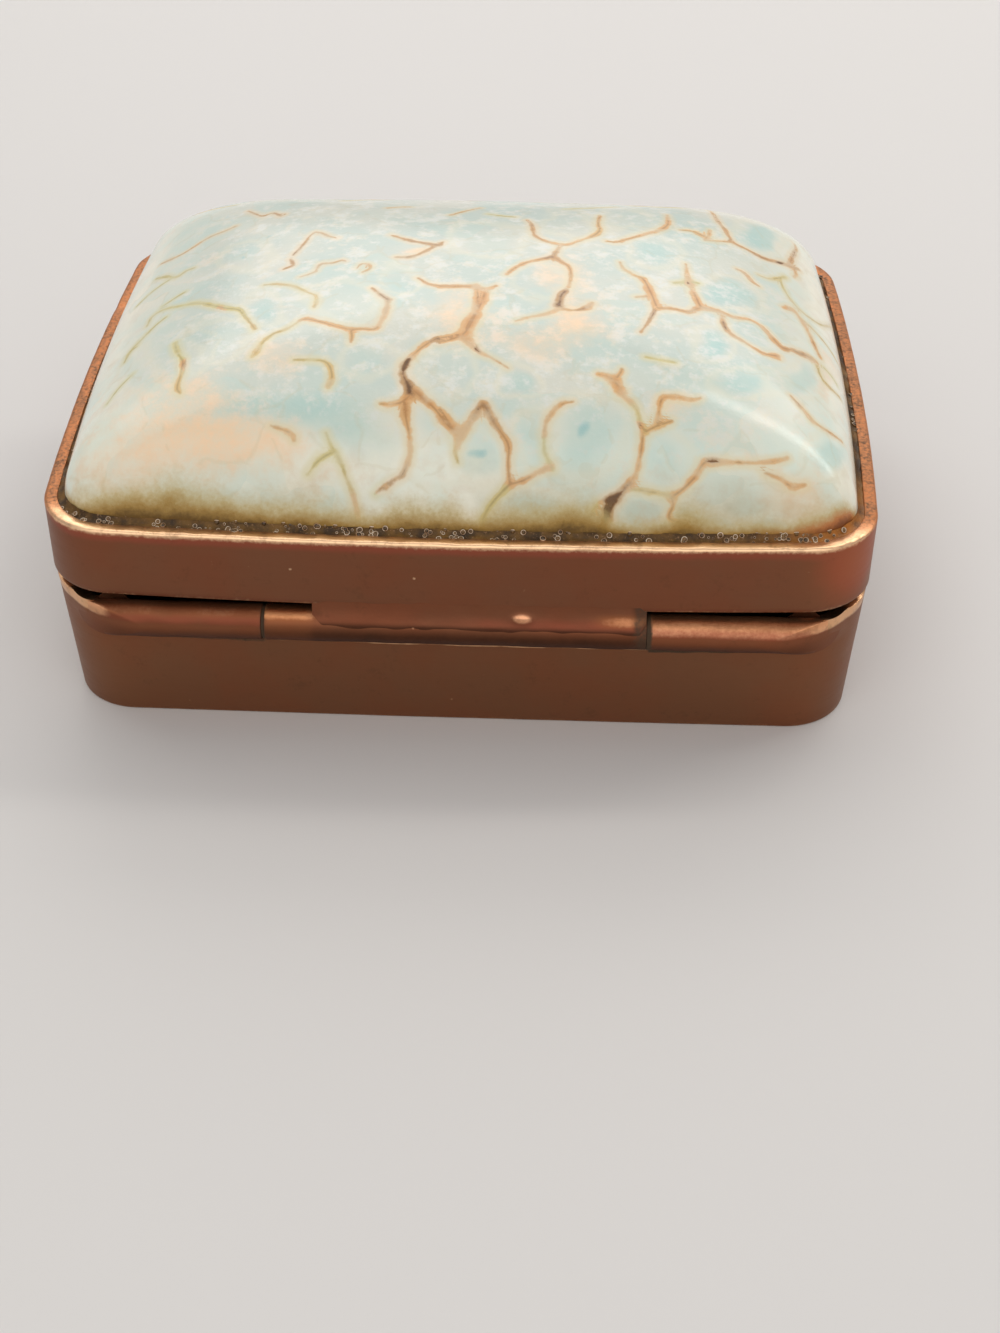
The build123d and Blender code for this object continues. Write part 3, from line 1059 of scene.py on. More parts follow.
# %% [markdown]
# ## Solder
# The middle tube is held to the lid by solder that ran down the wall and over the tube in one soft
# hollow. Metaballs could melt the two together, but their edge can't be steered. So at each place along
# the hinge the section is a curve from the wall to the tube, closed inside the metal, and the run
# thins out near its ends.

# %% Section of the solder
toe_angle = math.radians(150)
toe_draw_back = math.radians(34)
toe_wander = math.radians(6)
toe_wander_size = 1.6 * mm
head_wander_size = 2.6 * mm
skin = tube_radius + 0.005 * mm
dirty_end = centre_high.x - 0.04 * mm


def on_tube(radius, angle):
    """A place in the section, on a circle about the pin."""
    return np.array([pin_y + radius * math.cos(angle), pin_z + radius * math.sin(angle)])


def solder_section(x):
    """Closed section of the solder at a place along the hinge."""
    from_end = min(x - solder_low.x, (dirty_end - x) * 1.6)
    full = float(rise(from_end, -0.15 * mm, 0.6 * mm))
    wander = noise.noise(Vector((x / toe_wander_size, 0.3, 0.7)))
    ragged = 0.5 + 0.5 * noise.noise(Vector((x / head_wander_size, 1.3, 0.2)))
    wall = -float(long_side_y(x))
    angle = toe_angle - toe_draw_back * (1 - full) + toe_wander * wander
    toe = on_tube(skin, angle)
    head = np.array([wall + 0.06 * mm, lid_low.z + (0.25 + 0.4 * ragged) * mm * full])
    shoulder = np.array([wall - 0.005 * mm, lid_low.z - 0.2 * mm * full])
    run_out = np.array([-math.sin(angle), math.cos(angle)]) * 0.45 * mm * full
    curve = []
    for t in np.linspace(0, 1, 16):
        far = head * (1 - t) ** 3 + shoulder * 3 * t * (1 - t) ** 2
        curve.append(far + (toe - run_out) * 3 * t**2 * (1 - t) + toe * t**3)
    for step in (3, 7, 12):
        curve.append(on_tube(tube_radius - 0.04 * mm * step / 12, angle + math.radians(step * full)))
    inner_y = pin_y - 0.1 * mm
    curve.append(np.array([pin_y - 0.6 * mm, pin_z + 0.3 * mm]))
    curve.append(np.array([inner_y, pin_z + 0.75 * mm]))
    curve.append(np.array([inner_y, lid_low.z + 0.1 * mm]))
    curve.append(np.array([wall + wall_thickness / 2, head[1] - 0.02 * mm]))
    section = np.array(curve)
    return np.column_stack([np.full(len(section), x), section])


print("points in a section of the solder", len(solder_section(0)))

# %% [markdown]
# ## The run of solder
# The sections are joined along the hinge, small lumps are pressed into the outside, and a bead stands
# right of the middle, painted bright as wear and as a painted highlight. The right end is grimy, and the
# metal near it is rubbed and coppery. Low under the toe the solder is painted dark, painted shade with a
# little dirt.

# %% The run of solder
bead_place_px = (522, 619)
bead_radius = 0.3 * mm
bead_height = 0.12 * mm
bead_place = seen_on_plane(bead_place_px, 1, solder_low.y + 0.25 * mm)
bead_shape = np.array((bead_radius * 1.5, bead_radius, bead_radius * 0.7))
solder_loops = [solder_section(x) for x in np.linspace(solder_low.x, dirty_end, 270)]
solder_mesh = mesh_from_loops("solder_run", solder_loops)
places = vertex_places(solder_mesh)
outside = places[:, 1] < pin_y - 0.25 * mm
bead = np.exp(-(((places - bead_place) / bead_shape) ** 2).sum(1)) * outside
lumps = (grain(places, 0.9 * mm, 3.0) - 0.5) * outside * 0.05 * mm
places[:, 1] -= bead_height * bead + lumps
places[:, 2] += bead_height * 0.5 * bead
move_vertices(solder_mesh, places)

belly = rise(places[:, 2], solder_low.z, solder_low.z + 0.35 * mm) * fall(places[:, 2], 7.5 * mm, 7.9 * mm)
right_glow = rise(places[:, 0], solder_high.x - 2.4 * mm, solder_high.x - 0.6 * mm)
reddish = 0.3 + 0.35 * rise(places[:, 0], -3 * mm, 5 * mm)
end_line = places[:, 0] + 0.3 * mm * (grain(places, 0.5 * mm, 6.0) - 0.5)
end_dirt = rise(end_line, solder_high.x - 0.15 * mm, solder_high.x + 0.2 * mm)
# Under the solder's toe it is painted dark: painted shade with a little dirt.
toe_dirt_and_shade = 1 - over_pin(places, 0.42, 0.68)
# The bead is painted bright, as wear and as a painted highlight, and kept clear of dirt and shade.
off_bead = 1 - np.clip(bead, 0, 1)
paint(
    solder_mesh,
    wear=np.maximum(bead * 1.4, belly * (0.1 + 0.45 * right_glow)),
    blush=reddish * fall(places[:, 2], 7.2 * mm, 7.95 * mm),
    copper=0.35 * right_glow * belly,
    dirt=np.maximum(0.52 * end_dirt, 0.1 * toe_dirt_and_shade) * off_bead,
    shade=np.maximum(0.55 * end_dirt, 0.95 * toe_dirt_and_shade) * off_bead,
)
add_piece("solder_run", finish_mesh(solder_mesh, 60), "lid", "solder", solder_metal, "hinge_solder")

# %% [markdown]
# ## The stone
# The stone is a cushion: an upright foot in its setting, rounded hips and a gently domed top. Lifting
# a grid would crowd its steep sides, so it is a stack of level outlines that shrink as they rise by
# one formula. The levels follow a cosine, which spaces them evenly over both the hips and the crown.
# The formula reaches the solid's height a little before the middle, and is level from there on.

# %% Stone
girdle_drop = 0.2 * mm
dome_power = 2.4
dome_root = 0.46
full_height_angle = math.radians(82)
foot_corner_share = 0.19
top_corner_share = 0.75
stone_points = (92, 40, 56)
dome_levels = 124
girdle_top = lid_high.z - girdle_drop
dome_height = (stone_high.z - girdle_top) / (1 - math.cos(full_height_angle) ** dome_power) ** dome_root


def stone_level(share):
    """Outline of the stone at one level, as a share of its foot, rounder towards the top."""
    length = (half_length - stone_inset) * share
    width = (half_width - stone_inset) * share
    corner = width * (foot_corner_share + (top_corner_share - foot_corner_share) * (1 - share))
    height = girdle_top + dome_height * (1 - share**dome_power) ** dome_root
    height = min(height, stone_high.z)
    return lift(outline(length, width, long_bow * share, short_bow * share, corner, stone_points), height)


foot_loop = lid_outline(stone_inset, stone_points)
stone_loops = [lift(foot_loop, stone_low.z), lift(foot_loop, (stone_low.z + girdle_top) / 2)]
stone_loops += [stone_level(math.cos(angle)) for angle in np.radians(np.linspace(0, 89, dome_levels))]
stone_mesh = finish_mesh(mesh_from_loops("stone", stone_loops), 60)
print("stone", len(stone_mesh.vertices), "vertices, top at", round(stone_loops[-1][0, 2] / mm, 2), "mm")

# %% [markdown]
# ## Veins of the stone
# Matrix glass imitates turquoise: pale cells in a web of ochre veins. A noise texture makes a web, but
# never this one. So the veins that the photograph shows are drawn as strokes in its pixels.

# %% Veins drawn as strokes
# Each stroke starts with its tone, from 0 for olive over ochre to 1 for dark brown. Then come its points:
# across, down and half the vein's width, all in pixels.
vein_strokes_px = [
    (0.8, (161, 264, 1.1), (172, 259, 1.4), (186, 252, 1.4), (208, 238, 1.4), (225, 231, 1.1),
     (236, 226, 0.8)),
    (1.0, (248, 211, 0.8), (262, 216, 1.4), (273, 213, 2.2), (281, 216, 1.7), (285, 214, 0.8)),
    (0.3, (197, 214, 0.8), (220, 208, 1.1), (236, 205, 0.8)),
    (0.6, (388, 208, 1.1), (402, 207, 1.4), (410, 207, 0.8)),
    (0.6, (451, 215, 1.4), (466, 211, 1.4), (480, 208, 1.1)),
    (1.0, (284, 269, 1.1), (293, 265, 2.2), (290, 259, 0.8)),
    (0.9, (293, 255, 1.4), (302, 246, 1.4), (311, 235, 1.1), (318, 232, 1.1), (329, 236, 1.1),
     (337, 238, 0.8)),
    (0.9, (316, 270, 0.8), (321, 264, 2.0), (332, 263, 2.0), (342, 260, 1.4), (345, 261, 0.8)),
    (0.8, (300, 277, 0.8), (309, 274, 1.1), (316, 271, 0.8)),
    (0.6, (363, 272, 1.1), (370, 268, 1.7), (368, 264, 1.7), (361, 264, 1.1), (357, 268, 0.8)),
    (0.9, (391, 235, 1.1), (408, 240, 2.5), (424, 243, 2.2), (438, 245, 2.5), (443, 242, 1.1)),
    (0.9, (396, 257, 1.4), (408, 257, 2.5), (419, 254, 1.7), (433, 247, 2.2)),
    (0.7, (418, 278, 1.1), (429, 284, 2.2), (444, 286, 2.2), (461, 286, 2.0), (476, 286, 2.8)),
    (0.6, (476, 286, 3.4), (478, 298, 4.2), (475, 312, 4.8), (469, 323, 5.6), (464, 333, 5.1)),
    (0.7, (464, 333, 3.9), (447, 337, 2.8), (436, 339, 3.6), (424, 346, 3.1), (413, 355, 3.4),
     (405, 364, 3.9)),
    (1.0, (405, 364, 3.9), (403, 374, 3.9), (408, 385, 5.1), (410, 394, 5.6)),
    (0.6, (410, 395, 5.6), (402, 402, 5.1), (391, 404, 3.9), (381, 404, 1.7)),
    (0.7, (405, 404, 5.6), (406, 418, 4.8), (409, 433, 2.8), (410, 449, 2.2), (408, 463, 2.5)),
    (0.9, (408, 463, 2.5), (402, 475, 2.8), (394, 480, 1.7), (386, 489, 1.4)),
    (0.7, (413, 390, 5.1), (424, 399, 4.2), (436, 410, 4.2), (444, 421, 4.8), (454, 430, 5.9),
     (461, 431, 4.5), (469, 424, 3.1), (480, 413, 2.5)),
    (0.6, (458, 431, 4.5), (458, 438, 3.4), (458, 447, 2.0)),
    (0.9, (372, 288, 1.1), (380, 294, 2.5), (388, 300, 2.8)),
    (0.7, (388, 300, 2.8), (387, 309, 2.8), (382, 320, 2.5), (375, 329, 2.8), (363, 329, 2.2),
     (349, 329, 2.8), (335, 326, 2.8), (321, 322, 3.1), (307, 319, 2.5), (301, 320, 1.7)),
    (0.6, (351, 330, 2.2), (352, 337, 2.2), (351, 342, 1.1)),
    (0.4, (301, 320, 1.4), (287, 329, 1.7), (273, 334, 2.0), (262, 343, 2.8), (257, 351, 3.4),
     (252, 357, 2.0)),
    (0.4, (264, 285, 0.8), (278, 284, 1.7), (293, 286, 1.7), (307, 292, 1.7), (316, 296, 2.0),
     (316, 303, 2.2), (314, 307, 1.1)),
    (0.2, (147, 326, 1.1), (152, 317, 1.4), (163, 310, 2.0), (180, 306, 2.2), (197, 303, 2.8)),
    (0.3, (197, 303, 2.8), (211, 305, 3.4), (225, 308, 3.6), (239, 310, 2.8), (245, 317, 2.2),
     (255, 329, 1.7)),
    (0.1, (133, 348, 1.4), (144, 337, 1.4), (155, 326, 1.1), (166, 317, 1.1)),
    (0.1, (124, 363, 1.1), (130, 352, 2.2), (136, 347, 2.0)),
    (0.1, (175, 343, 2.2), (177, 352, 2.8), (183, 361, 2.8)),
    (0.4, (183, 361, 3.1), (181, 374, 2.2), (177, 388, 2.8), (180, 393, 2.0)),
    (0.3, (156, 279, 1.1), (166, 277, 1.7), (177, 277, 1.7), (186, 271, 1.1), (194, 268, 0.8)),
    (0.1, (163, 306, 0.8), (175, 298, 1.1), (185, 292, 0.8)),
    (0.4, (294, 360, 1.1), (309, 360, 1.7), (323, 361, 2.2), (330, 367, 2.8), (332, 379, 3.1),
     (328, 387, 2.8)),
    (0.3, (326, 433, 1.1), (330, 444, 2.0), (335, 452, 2.2), (342, 466, 1.7), (347, 480, 1.7),
     (353, 494, 2.0)),
    (0.6, (353, 494, 2.0), (356, 505, 2.5), (358, 518, 2.8)),
    (0.3, (308, 474, 1.7), (318, 461, 2.8), (329, 454, 3.1), (335, 452, 2.0)),
    (0.6, (271, 426, 0.8), (284, 430, 2.5), (293, 435, 3.1), (294, 440, 1.7)),
    (0.0, (107, 404, 0.8), (119, 388, 1.1), (133, 374, 0.8)),
    (0.0, (137, 306, 0.8), (152, 292, 0.8), (172, 278, 0.8)),
    (0.2, (343, 201, 0.8), (365, 200, 1.1), (388, 200, 0.8)),
    (0.2, (375, 494, 1.4), (384, 486, 1.7), (394, 480, 1.4)),
    (0.2, (488, 214, 0.6), (503, 216, 1.2), (515, 217, 0.9)),
    (0.8, (527, 220, 1.2), (532, 225, 2.1), (534, 234, 2.1), (543, 240, 2.1), (553, 243, 2.1)),
    (0.6, (553, 243, 2.1), (566, 245, 2.3), (581, 240, 2.3), (593, 236, 2.6), (600, 230, 3.2),
     (598, 224, 2.1), (600, 216, 1.5)),
    (0.7, (607, 241, 1.8), (616, 242, 2.1), (628, 239, 2.1), (645, 234, 2.1), (660, 230, 2.6),
     (668, 224, 2.6), (667, 215, 1.8)),
    (0.6, (680, 230, 1.2), (692, 231, 2.3), (701, 235, 3.8), (708, 237, 2.6), (710, 230, 1.5)),
    (0.6, (705, 240, 1.5), (719, 241, 1.8), (733, 242, 1.8)),
    (0.8, (710, 211, 1.5), (717, 220, 2.3), (726, 231, 2.3), (733, 242, 2.3), (748, 250, 2.3),
     (763, 258, 2.6), (777, 262, 3.2), (789, 266, 4.1), (798, 269, 2.6)),
    (0.8, (789, 265, 3.5), (793, 256, 2.9), (796, 249, 2.1), (795, 245, 1.2)),
    (0.6, (793, 267, 2.9), (796, 274, 2.6), (794, 277, 1.5)),
    (0.4, (786, 277, 2.3), (771, 279, 2.1), (759, 275, 1.2)),
    (0.7, (507, 274, 2.1), (515, 268, 2.6), (528, 262, 2.6), (543, 259, 2.6), (553, 257, 3.2),
     (560, 261, 3.2), (569, 267, 2.3), (571, 277, 1.5), (568, 287, 1.8)),
    (0.7, (553, 257, 3.2), (557, 251, 2.3), (561, 245, 1.8)),
    (1.0, (565, 291, 3.5), (561, 296, 3.8), (559, 305, 4.1)),
    (0.8, (559, 307, 3.8), (569, 310, 2.3), (578, 310, 2.3), (587, 307, 4.1), (592, 303, 2.3)),
    (0.6, (516, 321, 1.8), (531, 317, 2.1), (546, 314, 2.3), (560, 309, 2.1)),
    (0.7, (440, 287, 2.1), (458, 286, 2.3), (475, 287, 2.9), (487, 289, 3.2), (496, 286, 2.3)),
    (0.6, (485, 293, 4.7), (481, 303, 5.3), (475, 315, 5.3), (469, 327, 6.5), (462, 335, 6.5),
     (449, 340, 3.2), (440, 342, 2.9)),
    (0.7, (463, 337, 5.9), (471, 344, 5.0), (479, 352, 2.9), (493, 359, 1.5), (508, 368, 0.9)),
    (0.6, (620, 262, 1.2), (623, 268, 1.8), (634, 275, 2.6), (642, 278, 3.5), (646, 283, 3.8),
     (650, 291, 4.7), (654, 300, 3.8), (657, 308, 4.1)),
    (0.7, (657, 308, 4.1), (675, 309, 2.9), (689, 312, 2.9), (701, 308, 3.8), (719, 311, 3.2),
     (733, 317, 2.9), (751, 320, 2.6), (766, 330, 2.9), (780, 346, 5.0), (792, 350, 4.4), (807, 356, 5.3),
     (816, 362, 3.8)),
    (0.6, (686, 264, 1.5), (688, 277, 2.9), (690, 283, 3.8), (695, 295, 3.8), (701, 308, 3.8)),
    (0.3, (674, 283, 1.2), (688, 282, 2.3), (699, 283, 1.2)),
    (0.6, (636, 297, 1.2), (649, 296, 2.6)),
    (0.9, (656, 309, 1.8), (649, 321, 1.8), (641, 332, 1.2)),
    (0.7, (737, 269, 1.2), (745, 273, 2.3), (752, 281, 2.3), (759, 286, 1.2)),
    (0.7, (722, 316, 2.1), (725, 327, 3.2), (733, 335, 2.9), (748, 344, 2.6), (763, 353, 2.9),
     (777, 356, 5.0)),
    (0.4, (780, 280, 1.5), (785, 291, 1.5), (795, 305, 1.2), (807, 316, 1.2), (821, 325, 1.2),
     (831, 327, 1.2)),
    (0.6, (784, 308, 2.3), (791, 309, 4.7), (796, 313, 3.8), (804, 324, 2.9), (810, 335, 2.9),
     (815, 347, 2.9), (820, 357, 2.9)),
    (0.4, (803, 320, 1.2), (818, 335, 1.2), (830, 350, 1.2), (837, 362, 1.2)),
    (0.4, (816, 362, 3.2), (821, 377, 2.6), (830, 388, 2.6), (840, 398, 1.8)),
    (0.8, (791, 396, 1.5), (801, 407, 2.6)),
    (0.6, (801, 407, 2.6), (813, 421, 3.8), (827, 431, 2.3), (842, 442, 1.8)),
    (0.3, (645, 357, 1.2), (660, 360, 2.1), (676, 363, 1.2)),
    (0.6, (598, 374, 2.3), (609, 377, 5.0), (615, 382, 7.0), (620, 389, 5.9), (623, 396, 3.5),
     (631, 402, 2.6)),
    (0.6, (616, 379, 4.1), (621, 372, 2.3), (622, 369, 1.2)),
    (0.4, (631, 402, 2.3), (638, 412, 2.3), (640, 423, 2.6), (645, 432, 4.1)),
    (0.6, (645, 432, 4.1), (657, 426, 3.2), (672, 421, 1.8)),
    (0.6, (657, 426, 3.5), (659, 410, 2.9), (663, 398, 3.2), (675, 397, 2.9), (692, 400, 2.6),
     (700, 398, 1.5)),
    (0.6, (643, 433, 3.5), (642, 444, 2.6), (640, 459, 2.6), (636, 473, 2.9), (631, 482, 3.8)),
    (0.9, (631, 482, 3.8), (622, 492, 4.4), (611, 501, 6.5)),
    (1.0, (611, 501, 6.5), (607, 511, 7.0), (605, 525, 5.3), (603, 533, 3.5)),
    (0.8, (544, 436, 1.8), (546, 423, 2.6), (553, 412, 2.6), (563, 404, 2.3), (573, 402, 1.2)),
    (0.3, (544, 436, 1.5), (544, 450, 1.5), (549, 462, 2.6), (552, 468, 2.1)),
    (0.7, (551, 466, 3.2), (537, 473, 2.9), (522, 481, 3.2), (510, 484, 3.8)),
    (0.3, (510, 484, 3.8), (500, 494, 3.5), (490, 506, 2.9), (484, 517, 2.9), (482, 528, 2.6)),
    (0.6, (440, 409, 2.6), (449, 423, 4.4), (458, 435, 5.9), (466, 429, 3.5)),
    (0.8, (466, 429, 3.5), (475, 415, 3.8), (483, 405, 4.1), (488, 412, 4.4)),
    (0.7, (488, 412, 4.4), (496, 426, 4.1), (505, 438, 4.1), (509, 448, 3.2), (508, 462, 2.3),
     (509, 476, 2.9), (510, 484, 3.2)),
    (0.4, (458, 438, 2.6), (455, 450, 2.1), (458, 462, 1.5)),
    (0.4, (628, 489, 2.1), (645, 491, 2.1), (663, 494, 2.9), (672, 497, 3.8)),
    (0.6, (672, 497, 3.8), (683, 489, 2.6), (695, 477, 2.9), (704, 463, 3.8), (714, 462, 4.1),
     (733, 462, 2.6), (751, 463, 2.3), (771, 462, 2.6), (787, 458, 2.1)),
    (0.6, (672, 497, 2.9), (673, 506, 2.9), (669, 518, 2.3), (683, 524, 3.5)),
    (0.6, (765, 473, 1.2), (780, 479, 2.3), (792, 487, 2.9), (805, 485, 1.8)),
    (0.9, (675, 532, 3.8), (684, 525, 4.1), (692, 530, 2.9)),
    (0.4, (593, 511, 1.8), (600, 503, 2.6), (610, 500, 2.9)),
    (0.2, (824, 368, 1.5), (832, 377, 1.5), (837, 385, 1.5)),
    (0.2, (566, 209, 0.9), (593, 208, 1.2), (616, 207, 0.9)),
    (0.2, (631, 206, 0.9), (657, 207, 1.2), (681, 208, 0.9)),
]
print("vein strokes drawn", len(vein_strokes_px))

# %% [markdown]
# ## Cells, patches and spots of the stone
# Between the veins lie bluer cells with a cream border, soft patches of blue and peach, and a few deep
# spots, and some knots of the veins are nearly black. They are drawn too, as ellipses and circles in the
# pixels of the photograph.

# %% Cells, patches and spots drawn
# Pale cells: the pixel at the middle, half width, half height and how blue the cell is.
cells_px = [
    (264, 307, 22, 19, 0.6), (220, 339, 31, 24, 0.4), (246, 254, 27, 17, 0.4),
    (343, 301, 31, 22, 0.1), (444, 374, 31, 26, 0.2),
    (141, 371, 20, 22, 0.4), (368, 360, 28, 20, 0.3), (444, 463, 31, 22, 0.2), (402, 278, 22, 14, 0.4),
    (197, 348, 17, 25, 0.3), (321, 477, 17, 20, 0.3), (482, 462, 24, 29, 0.55), (588, 436, 41, 44, 0.5),
    (666, 459, 29, 32, 0.45), (732, 494, 48, 23, 0.3), (645, 513, 22, 20, 0.3),
    (750, 333, 19, 11, 0.1), (729, 296, 31, 18, 0.7), (748, 385, 35, 18, 0.7), (566, 226, 28, 13, 0.2),
    (632, 221, 26, 13, 0.2), (807, 295, 15, 21, 0.3), (758, 236, 27, 16, 0.7), (537, 283, 24, 18, 0.1),
    (675, 296, 18, 12, 0.1), (792, 379, 26, 18, 0.6), (830, 459, 23, 23, 0.6), (531, 438, 21, 32, 0.4),
    (528, 506, 38, 18, 0.4), (657, 253, 29, 16, 0.6), (713, 344, 21, 18, 0.8), (519, 379, 18, 15, 0.6),
    (763, 526, 35, 12, 0.3), (487, 239, 38, 18, 0.4),
]
# Soft blue patches without a border, and soft peach ones, given in the same way.
blue_patches_px = [
    (250, 402, 44, 17, 0.6), (305, 407, 52, 19, 0.65), (345, 428, 38, 26, 0.6), (382, 452, 30, 24, 0.4),
    (155, 345, 40, 34, 0.3), (742, 378, 60, 30, 0.5), (770, 330, 50, 24, 0.3), (690, 470, 70, 30, 0.25),
]
peach_patches_px = [
    (205, 440, 105, 44, 0.75), (158, 450, 50, 38, 0.6), (262, 440, 48, 24, 0.65), (190, 386, 44, 20, 0.55),
    (112, 478, 38, 30, 0.5), (278, 354, 40, 18, 0.6), (416, 249, 20, 7, 0.8), (214, 259, 17, 14, 0.3),
    (330, 478, 40, 22, 0.4), (458, 318, 32, 32, 0.7), (581, 318, 32, 26, 0.8), (528, 344, 41, 21, 0.6),
    (675, 403, 26, 18, 0.7), (792, 491, 38, 21, 0.7), (557, 277, 26, 21, 0.6), (669, 303, 26, 15, 0.4),
    (821, 371, 18, 32, 0.6), (733, 470, 47, 15, 0.4), (804, 514, 32, 15, 0.7), (663, 520, 32, 12, 0.4),
]
# Small deep spots in cells, and dark knots in veins: the pixel and the radius, for spots also the strength.
deep_spots_px = [
    (248, 258, 4, 0.8), (272, 236, 4, 0.8), (234, 218, 4, 0.6), (478, 457, 6, 1.0), (583, 433, 7, 1.0),
    (617, 426, 6, 0.4), (664, 460, 8, 0.4), (717, 344, 8, 0.5), (758, 382, 12, 0.4), (519, 382, 6, 0.3),
]
dark_knots_px = [
    (405, 365, 7), (409, 388, 6), (380, 293, 7), (225, 308, 8), (183, 364, 6), (408, 240, 8),
    (408, 257, 7), (434, 338, 8), (394, 480, 7), (387, 489, 6), (293, 265, 6), (551, 257, 8),
    (560, 300, 10), (587, 307, 8), (656, 308, 7), (611, 501, 18), (607, 514, 15), (733, 241, 5),
    (777, 263, 10), (483, 406, 8), (711, 462, 8), (733, 462, 4), (479, 352, 6), (685, 526, 12),
    (793, 399, 5), (532, 224, 5), (642, 432, 7), (726, 327, 6), (692, 283, 5),
]
print("cells", len(cells_px), "peach patches", len(peach_patches_px), "knots", len(dark_knots_px))

# %% [markdown]
# ## From strokes to veins
# The camera's lines of sight carry each stroke on to the stone, where a smooth curve is laid through its
# points. A BVH tree, which sorts the faces into nested boxes, finds where a line meets the mesh. Then the
# distance of every vertex to the nearest piece of the curve is measured.

# %% From strokes to veins
thinnest_px = 0.9
stone_places = vertex_places(stone_mesh)
stone_faces = [tuple(face.vertices) for face in stone_mesh.polygons]
stone_tree = BVHTree.FromPolygons([Vector(place) for place in stone_places], stone_faces)


def on_stone(across_px, down_px):
    """The place on the stone that the camera sees at a pixel, or none."""
    hit = stone_tree.ray_cast(camera_place, sight_line(across_px, down_px))[0]
    return None if hit is None else np.array(hit)


def soft_curve(points, steps=4):
    """A smooth curve through the rows of an array."""
    padded = np.vstack([2 * points[0] - points[1], points, 2 * points[-1] - points[-2]])
    curve = []
    for before, first, second, after in zip(padded, padded[1:], padded[2:], padded[3:]):
        for t in np.arange(steps) / steps:
            curve.append(0.5 * (
                2 * first + (second - before) * t
                + (2 * before - 5 * first + 4 * second - after) * t**2
                + (3 * first - before - 3 * second + after) * t**3
            ))
    return np.vstack([*curve, points[-1]])


def from_stroke(points, curve):
    """Distance of points to a vein's border, the way to its middle line and its half width there."""
    nearest = np.full(len(points), 1.0)
    ways = np.zeros((len(points), 3))
    halves = np.zeros(len(points))
    for first, second in zip(curve, curve[1:]):
        along = second[:3] - first[:3]
        share = np.clip(((points - first[:3]) @ along) / max(along @ along, 1e-12), 0, 1)
        way = first[:3] + share[:, None] * along - points
        half = first[3] + share * (second[3] - first[3])
        away = np.linalg.norm(way, axis=1) - half
        closer = away < nearest
        nearest[closer], ways[closer], halves[closer] = away[closer], way[closer], half[closer]
    return nearest, ways, halves


def curve_on_stone(pixels):
    """A smooth curve of places and half widths on the stone, or none where too few points meet it."""
    hits = []
    for across_px, down_px, half_px in pixels:
        hit = on_stone(across_px, down_px)
        if hit is not None:
            metres_per_px = np.linalg.norm(hit - camera_point) / focal_length_px
            hits.append([*hit, max(half_px, thinnest_px) * metres_per_px])
    return soft_curve(np.array(hits)) if len(hits) > 1 else None


print("the first stroke starts at", np.round(on_stone(*vein_strokes_px[0][1][:2]) / mm, 1), "mm")

# %% [markdown]
# ## Storing the veins on the stone
# Each vertex stores its distance to the nearest vein, less half the vein's width there. That number is
# smooth, so the shader can roughen it and cut it off sharply. A vein thinner than the mesh would break
# up, since between two vertices the number never falls low enough. So each vertex also stores its way to
# the vein's middle line, as a vector: that turns round evenly from one side of the line to the other,
# and passes zero right on it. Where two veins meet, their distances and tones are blended.

# %% Veins on the stone
blend_width = 0.06 * mm
reach = 2.5 * mm
nearest = np.full(len(stone_places), 1.0)
ways = np.tile((3 * mm, 0, 0), (len(stone_places), 1))
halves = np.zeros(len(stone_places))
weights = np.zeros(len(stone_places))
weighted_tones = np.zeros(len(stone_places))
for tone, *pixels in vein_strokes_px:
    curve = curve_on_stone(pixels)
    if curve is None:
        continue
    middle = curve[:, :3].mean(0)
    span = np.ptp(curve[:, :3], axis=0) + reach
    near = np.flatnonzero(np.all(np.abs(stone_places - middle) < span, axis=1))
    away, way, half = from_stroke(stone_places[near], curve)
    closer = away < nearest[near]
    nearest[near[closer]], ways[near[closer]], halves[near[closer]] = away[closer], way[closer], half[closer]
    weight = np.exp(-away / blend_width)
    weights[near] += weight
    weighted_tones[near] += weight * tone

vein_distance = -blend_width * np.log(np.maximum(weights, 1e-18))
paint(stone_mesh, vein=np.clip(vein_distance / mm, -1, 3), half=halves / mm)
way_layer = stone_mesh.attributes.new("way", "FLOAT_VECTOR", "POINT")
way_layer.data.foreach_set("vector", (ways / mm).astype(np.float32).ravel())
print("vertices inside a vein", int((vein_distance < 0).sum()))

# %% [markdown]
# ## Looking back from the stone
# The other shapes are soft, so they are painted straight in the pixels that the vertices fall on, shifted
# by noise so that no ellipse stays even. Where a vertex faces away from the camera, the drawn shapes
# fade out, and the shader makes up a pattern of its own.

# %% Pixels of the vertices
broad_wander_px = (26, 22)
fine_wander_px = (9, 8)
to_camera = np.array(camera.matrix_world.inverted())
from_camera = np.column_stack([stone_places, np.ones(len(stone_places))]) @ to_camera.T
stone_across_px = picture_width_px / 2 - focal_length_px * from_camera[:, 0] / from_camera[:, 2]
stone_down_px = picture_height_px / 2 + focal_length_px * from_camera[:, 1] / from_camera[:, 2]
broad_across, broad_down = (grain(stone_places, 3 * mm, seed) - 0.5 for seed in (31.0, 37.0))
fine_across, fine_down = (grain(stone_places, 0.9 * mm, seed) - 0.5 for seed in (33.0, 39.0))
stone_across_px += broad_wander_px[0] * broad_across + fine_wander_px[0] * fine_across
stone_down_px += broad_wander_px[1] * broad_down + fine_wander_px[1] * fine_down

stone_normals = np.empty(len(stone_places) * 3, np.float32)
stone_mesh.vertices.foreach_get("normal", stone_normals)
towards = camera_point - stone_places
facing = (stone_normals.reshape(-1, 3) * towards).sum(1) / np.linalg.norm(towards, axis=1)
seen_share = rise(facing, 0.02, 0.16)


